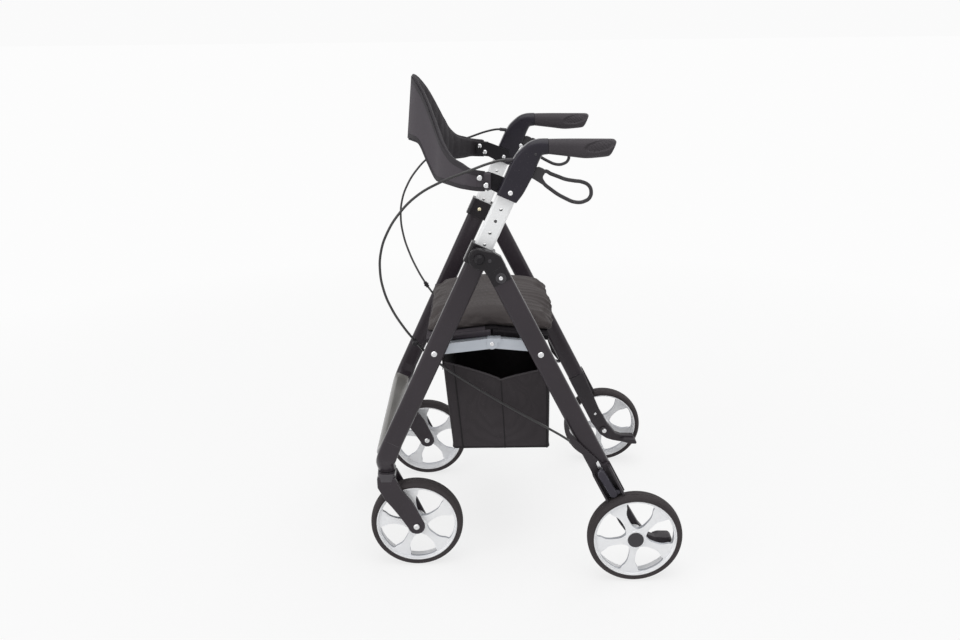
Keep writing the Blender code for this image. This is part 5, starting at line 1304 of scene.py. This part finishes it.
# ---- Small fittings
crown = {"halfRun": 0.0190, "halfSide": 0.0269, "foot": 0.2068, "head": 0.2249, "square": 0.45,
         "sizes": (0.93, 0.975, 0.995, 1.0, 1.0, 0.995, 0.98, 0.94),
         "levels": (0.0, 0.02, 0.09, 0.3, 0.6, 0.88, 0.97, 1.0)}
kerbPad = {"place": (0.3095, 0.0718), "inner": 0.2310, "outer": 0.2600,
           "outline": ((-0.0330, 0.0020), (-0.0085, -0.0052), (0.0080, -0.0060), (0.0092, -0.0010),
                       (0.0030, 0.0060), (-0.0210, 0.0066))}
cableClip = {"wire": ((-0.2268, 0.2160, 0.5192), (-0.2230, 0.2145, 0.5130), (-0.2186, 0.2133, 0.5072)),
             "radius": 0.0043, "inner": 0.2160, "outer": 0.2279,
             "plate": ((-0.2290, 0.5090), (-0.2210, 0.5055), (-0.2175, 0.5130), (-0.2255, 0.5170))}
# Places along the rear leg are (down from the fold pivot, behind it)
hingeRivet = {"place": (0.0532, 0.0199), "seat": 0.2714, "radius": 0.0042, "height": 0.0020}
hingeWasher = {"radius": 0.0105, "inner": 0.2690, "outer": 0.2712, "edge": 0.0005}
lockNut = {"place": (0.0124, 0.0163), "radius": 0.0036, "inner": 0.2690, "outer": 0.2711, "edge": 0.0004}
lockEnd = {"seat": 0.2230, "radius": 0.0045, "height": 0.0022}
bracketScrews = (((0.6287, 0.0167), 0.2493, 0.0036), ((0.6824, 0.0174), 0.2454, 0.0060))  # place, seat, radius
adjuster = {"outline": ((0.491, 0.0212), (0.519, 0.0212), (0.523, 0.0120), (0.494, 0.0150)),
            "inner": 0.2755, "outer": 0.2785}


def addRound(bm, place, part, sign, steps):
    addCylinder(bm, rearPoint(*place), part["radius"], part["inner"], part["outer"], sign, steps, part["edge"])


for side, sign in sides:
    bm = bmesh.new()
    for place, rest, radius in bracketScrews:
        addHead(bm, rearPoint(*place), -rest, -sign, radius, 0.0018)
    finishPiece("rear_bracket_screws_" + side, bm, "boltSteel", "rear_frame")
    # Cable adjuster plate on the brake housing
    bm = bmesh.new()
    addSlab(bm, [rearPoint(*place) for place in adjuster["outline"]], sign * adjuster["inner"],
            sign * adjuster["outer"], rim=0.0006, corner=0.0018)
    finishPiece("brake_adjuster_" + side, bm, "boltSteel", "rear_frame")
    # Hinge rivet in its recess, and the brass end of the lock bolt on the inside
    bm = bmesh.new()
    addHead(bm, rearPoint(*hingeRivet["place"]), hingeRivet["seat"], sign, hingeRivet["radius"],
            hingeRivet["height"])
    finishPiece("hinge_rivet_" + side, bm, "boltSteel", "rear_frame")
    bm = bmesh.new()
    addRound(bm, hingeRivet["place"], hingeWasher, sign, 48)
    addRound(bm, lockNut["place"], lockNut, sign, 32)
    finishPiece("hinge_washer_" + side, bm, "blackCap", "rear_frame")
    bm = bmesh.new()
    addHead(bm, layout["foldPivot"], -lockEnd["seat"], -sign, lockEnd["radius"], lockEnd["height"])
    finishPiece("lock_bolt_end_" + side, bm, "brass", "front_frame")

    # Rubber pad across the end of the kerb pedal
    bm = bmesh.new()
    pad = [(kerbPad["place"][0] + x, kerbPad["place"][1] + z) for x, z in kerbPad["outline"]]
    addSlab(bm, pad, sign * kerbPad["inner"], sign * kerbPad["outer"], rim=0.0020, corner=0.0030)
    finishPiece("kerb_pad_" + side, bm, "bracketNylon", "rear_frame", angle=50)

    def crownPlace(share, turn, sign=sign):
        # Cast crown of the caster fork, a little fuller in the middle
        angle = 2 * math.pi * turn
        size = along(crown["sizes"], share)
        across, deep = math.cos(angle), math.sin(angle)
        across = math.copysign(abs(across) ** crown["square"], across)
        deep = math.copysign(abs(deep) ** crown["square"], deep)
        return Vector((layout["stemX"] + crown["halfRun"] * size * across,
                       sign * layout["casterY"] + crown["halfSide"] * size * deep,
                       crown["foot"] + (crown["head"] - crown["foot"]) * along(crown["levels"], share)))

    finishPiece("caster_crown_" + side, wrappedGrid(28, 72, crownPlace), "crownPaint", "caster_" + side, angle=50)

    # Clip that holds the brake cable to the front leg, and the ferrules at its two ends
    bm = wireMesh("clip", mirrored(cableClip["wire"], sign), cableClip["radius"], steps=6, sides=5)
    addSlab(bm, cableClip["plate"], sign * cableClip["inner"], sign * cableClip["outer"], rim=0.0006,
            corner=0.0016)
    finishPiece("cable_clip_" + side, bm, "nylon", "front_frame", angle=50)
    for name, body, first, second, size, past in (("upper", "handle_frame", 0, 1, 0.0040, -0.0030),
                                                  ("lower", "rear_frame", -1, -2, 0.0038, -0.0110)):
        start, toward = mirrored((cable[name][first], cable[name][second]), sign)
        step = (toward - start).normalized()
        points = [start + step * reach for reach in (past, 0.0045, 0.0120)]
        finishPiece("cable_ferrule_" + name + "_" + side, wireMesh("ferrule", points, size, steps=4, sides=5),
                    "blackCap", body, angle=50)
print("small fittings made")

# ---- Studio
studio = {"floorTone": (0.93, 0.93, 0.93), "floorReach": 40.0, "floorGlow": 0.78,
          "glowFrom": 0.5, "glowTo": 2.6, "backTone": (0.958, 0.958, 0.958), "glowTone": (0.975, 0.975, 0.975),
          "fill": 0.50,
          "lamps": (("softboxOver", (0.2, -0.6, 3.2), (0.0, 0.0, 0.4), 3.2, 44.0),
                    ("softboxFront", (-2.9, -2.5, 2.2), (0.0, 0.0, 0.5), 2.4, 30.0),
                    ("softboxRear", (2.4, 2.6, 2.4), (0.0, 0.0, 0.5), 2.4, 18.0))}


def seenDirectly(tree):
    # 1 for camera, glossy and transmitted rays, which see the plain white
    path = tree.nodes.new("ShaderNodeLightPath")
    return sums(tree, "MAXIMUM", path.outputs["Is Camera Ray"],
                sums(tree, "MAXIMUM", path.outputs["Is Glossy Ray"], path.outputs["Is Transmission Ray"]))


def mixShaders(tree, share, first, second):
    blend = tree.nodes.new("ShaderNodeMixShader")
    for socket, source in zip(blend.inputs, (share, first.outputs[0], second.outputs[0])):
        tree.links.new(source, socket)
    return blend.outputs[0]


def buildStudio():
    mesh = bpy.data.meshes.new("floor")
    bm = bmesh.new()
    bmesh.ops.create_grid(bm, x_segments=1, y_segments=1, size=studio["floorReach"])
    bm.to_mesh(mesh)
    bm.free()
    floor = bpy.data.objects.new("studio_floor", mesh)
    scene.collection.objects.link(floor)
    material = bpy.data.materials.new("studioFloor")
    material.use_nodes = True
    tree = material.node_tree
    tree.nodes.clear()
    output = tree.nodes.new("ShaderNodeOutputMaterial")
    matte = addNode(tree, "ShaderNodeBsdfDiffuse", (("Color", (*studio["floorTone"], 1.0)),))
    glow = addNode(tree, "ShaderNodeEmission", (("Color", (*studio["glowTone"], 1.0)),))
    distance = addNode(tree, "ShaderNodeVectorMath", ((0, objectPlace(tree)),), operation="LENGTH")
    far = stretch(tree, distance.outputs["Value"], studio["glowFrom"], studio["glowTo"], studio["floorGlow"])
    share = sums(tree, "MULTIPLY", far, seenDirectly(tree))
    tree.links.new(mixShaders(tree, share, matte, glow), output.inputs["Surface"])
    mesh.materials.append(material)

    world = bpy.data.worlds.new("studio")
    scene.world = world
    world.use_nodes = True
    tree = world.node_tree
    tree.nodes.clear()
    output = tree.nodes.new("ShaderNodeOutputWorld")
    fill = addNode(tree, "ShaderNodeBackground", (("Color", (1.0, 1.0, 1.0, 1.0)), ("Strength", studio["fill"])))
    white = addNode(tree, "ShaderNodeBackground", (("Color", (*studio["backTone"], 1.0)),))
    tree.links.new(mixShaders(tree, seenDirectly(tree), fill, white), output.inputs["Surface"])

    for name, place, target, size, power in studio["lamps"]:
        lamp = bpy.data.lights.new(name, "AREA")
        lamp.shape = "DISK"
        lamp.size = size
        lamp.energy = power
        holder = bpy.data.objects.new(name, lamp)
        scene.collection.objects.link(holder)
        aim = (Vector(target) - Vector(place)).to_track_quat("-Z", "Y")
        holder.matrix_world = Matrix.Translation(place) @ aim.to_matrix().to_4x4()


buildStudio()
scene.view_settings.view_transform = "Standard"
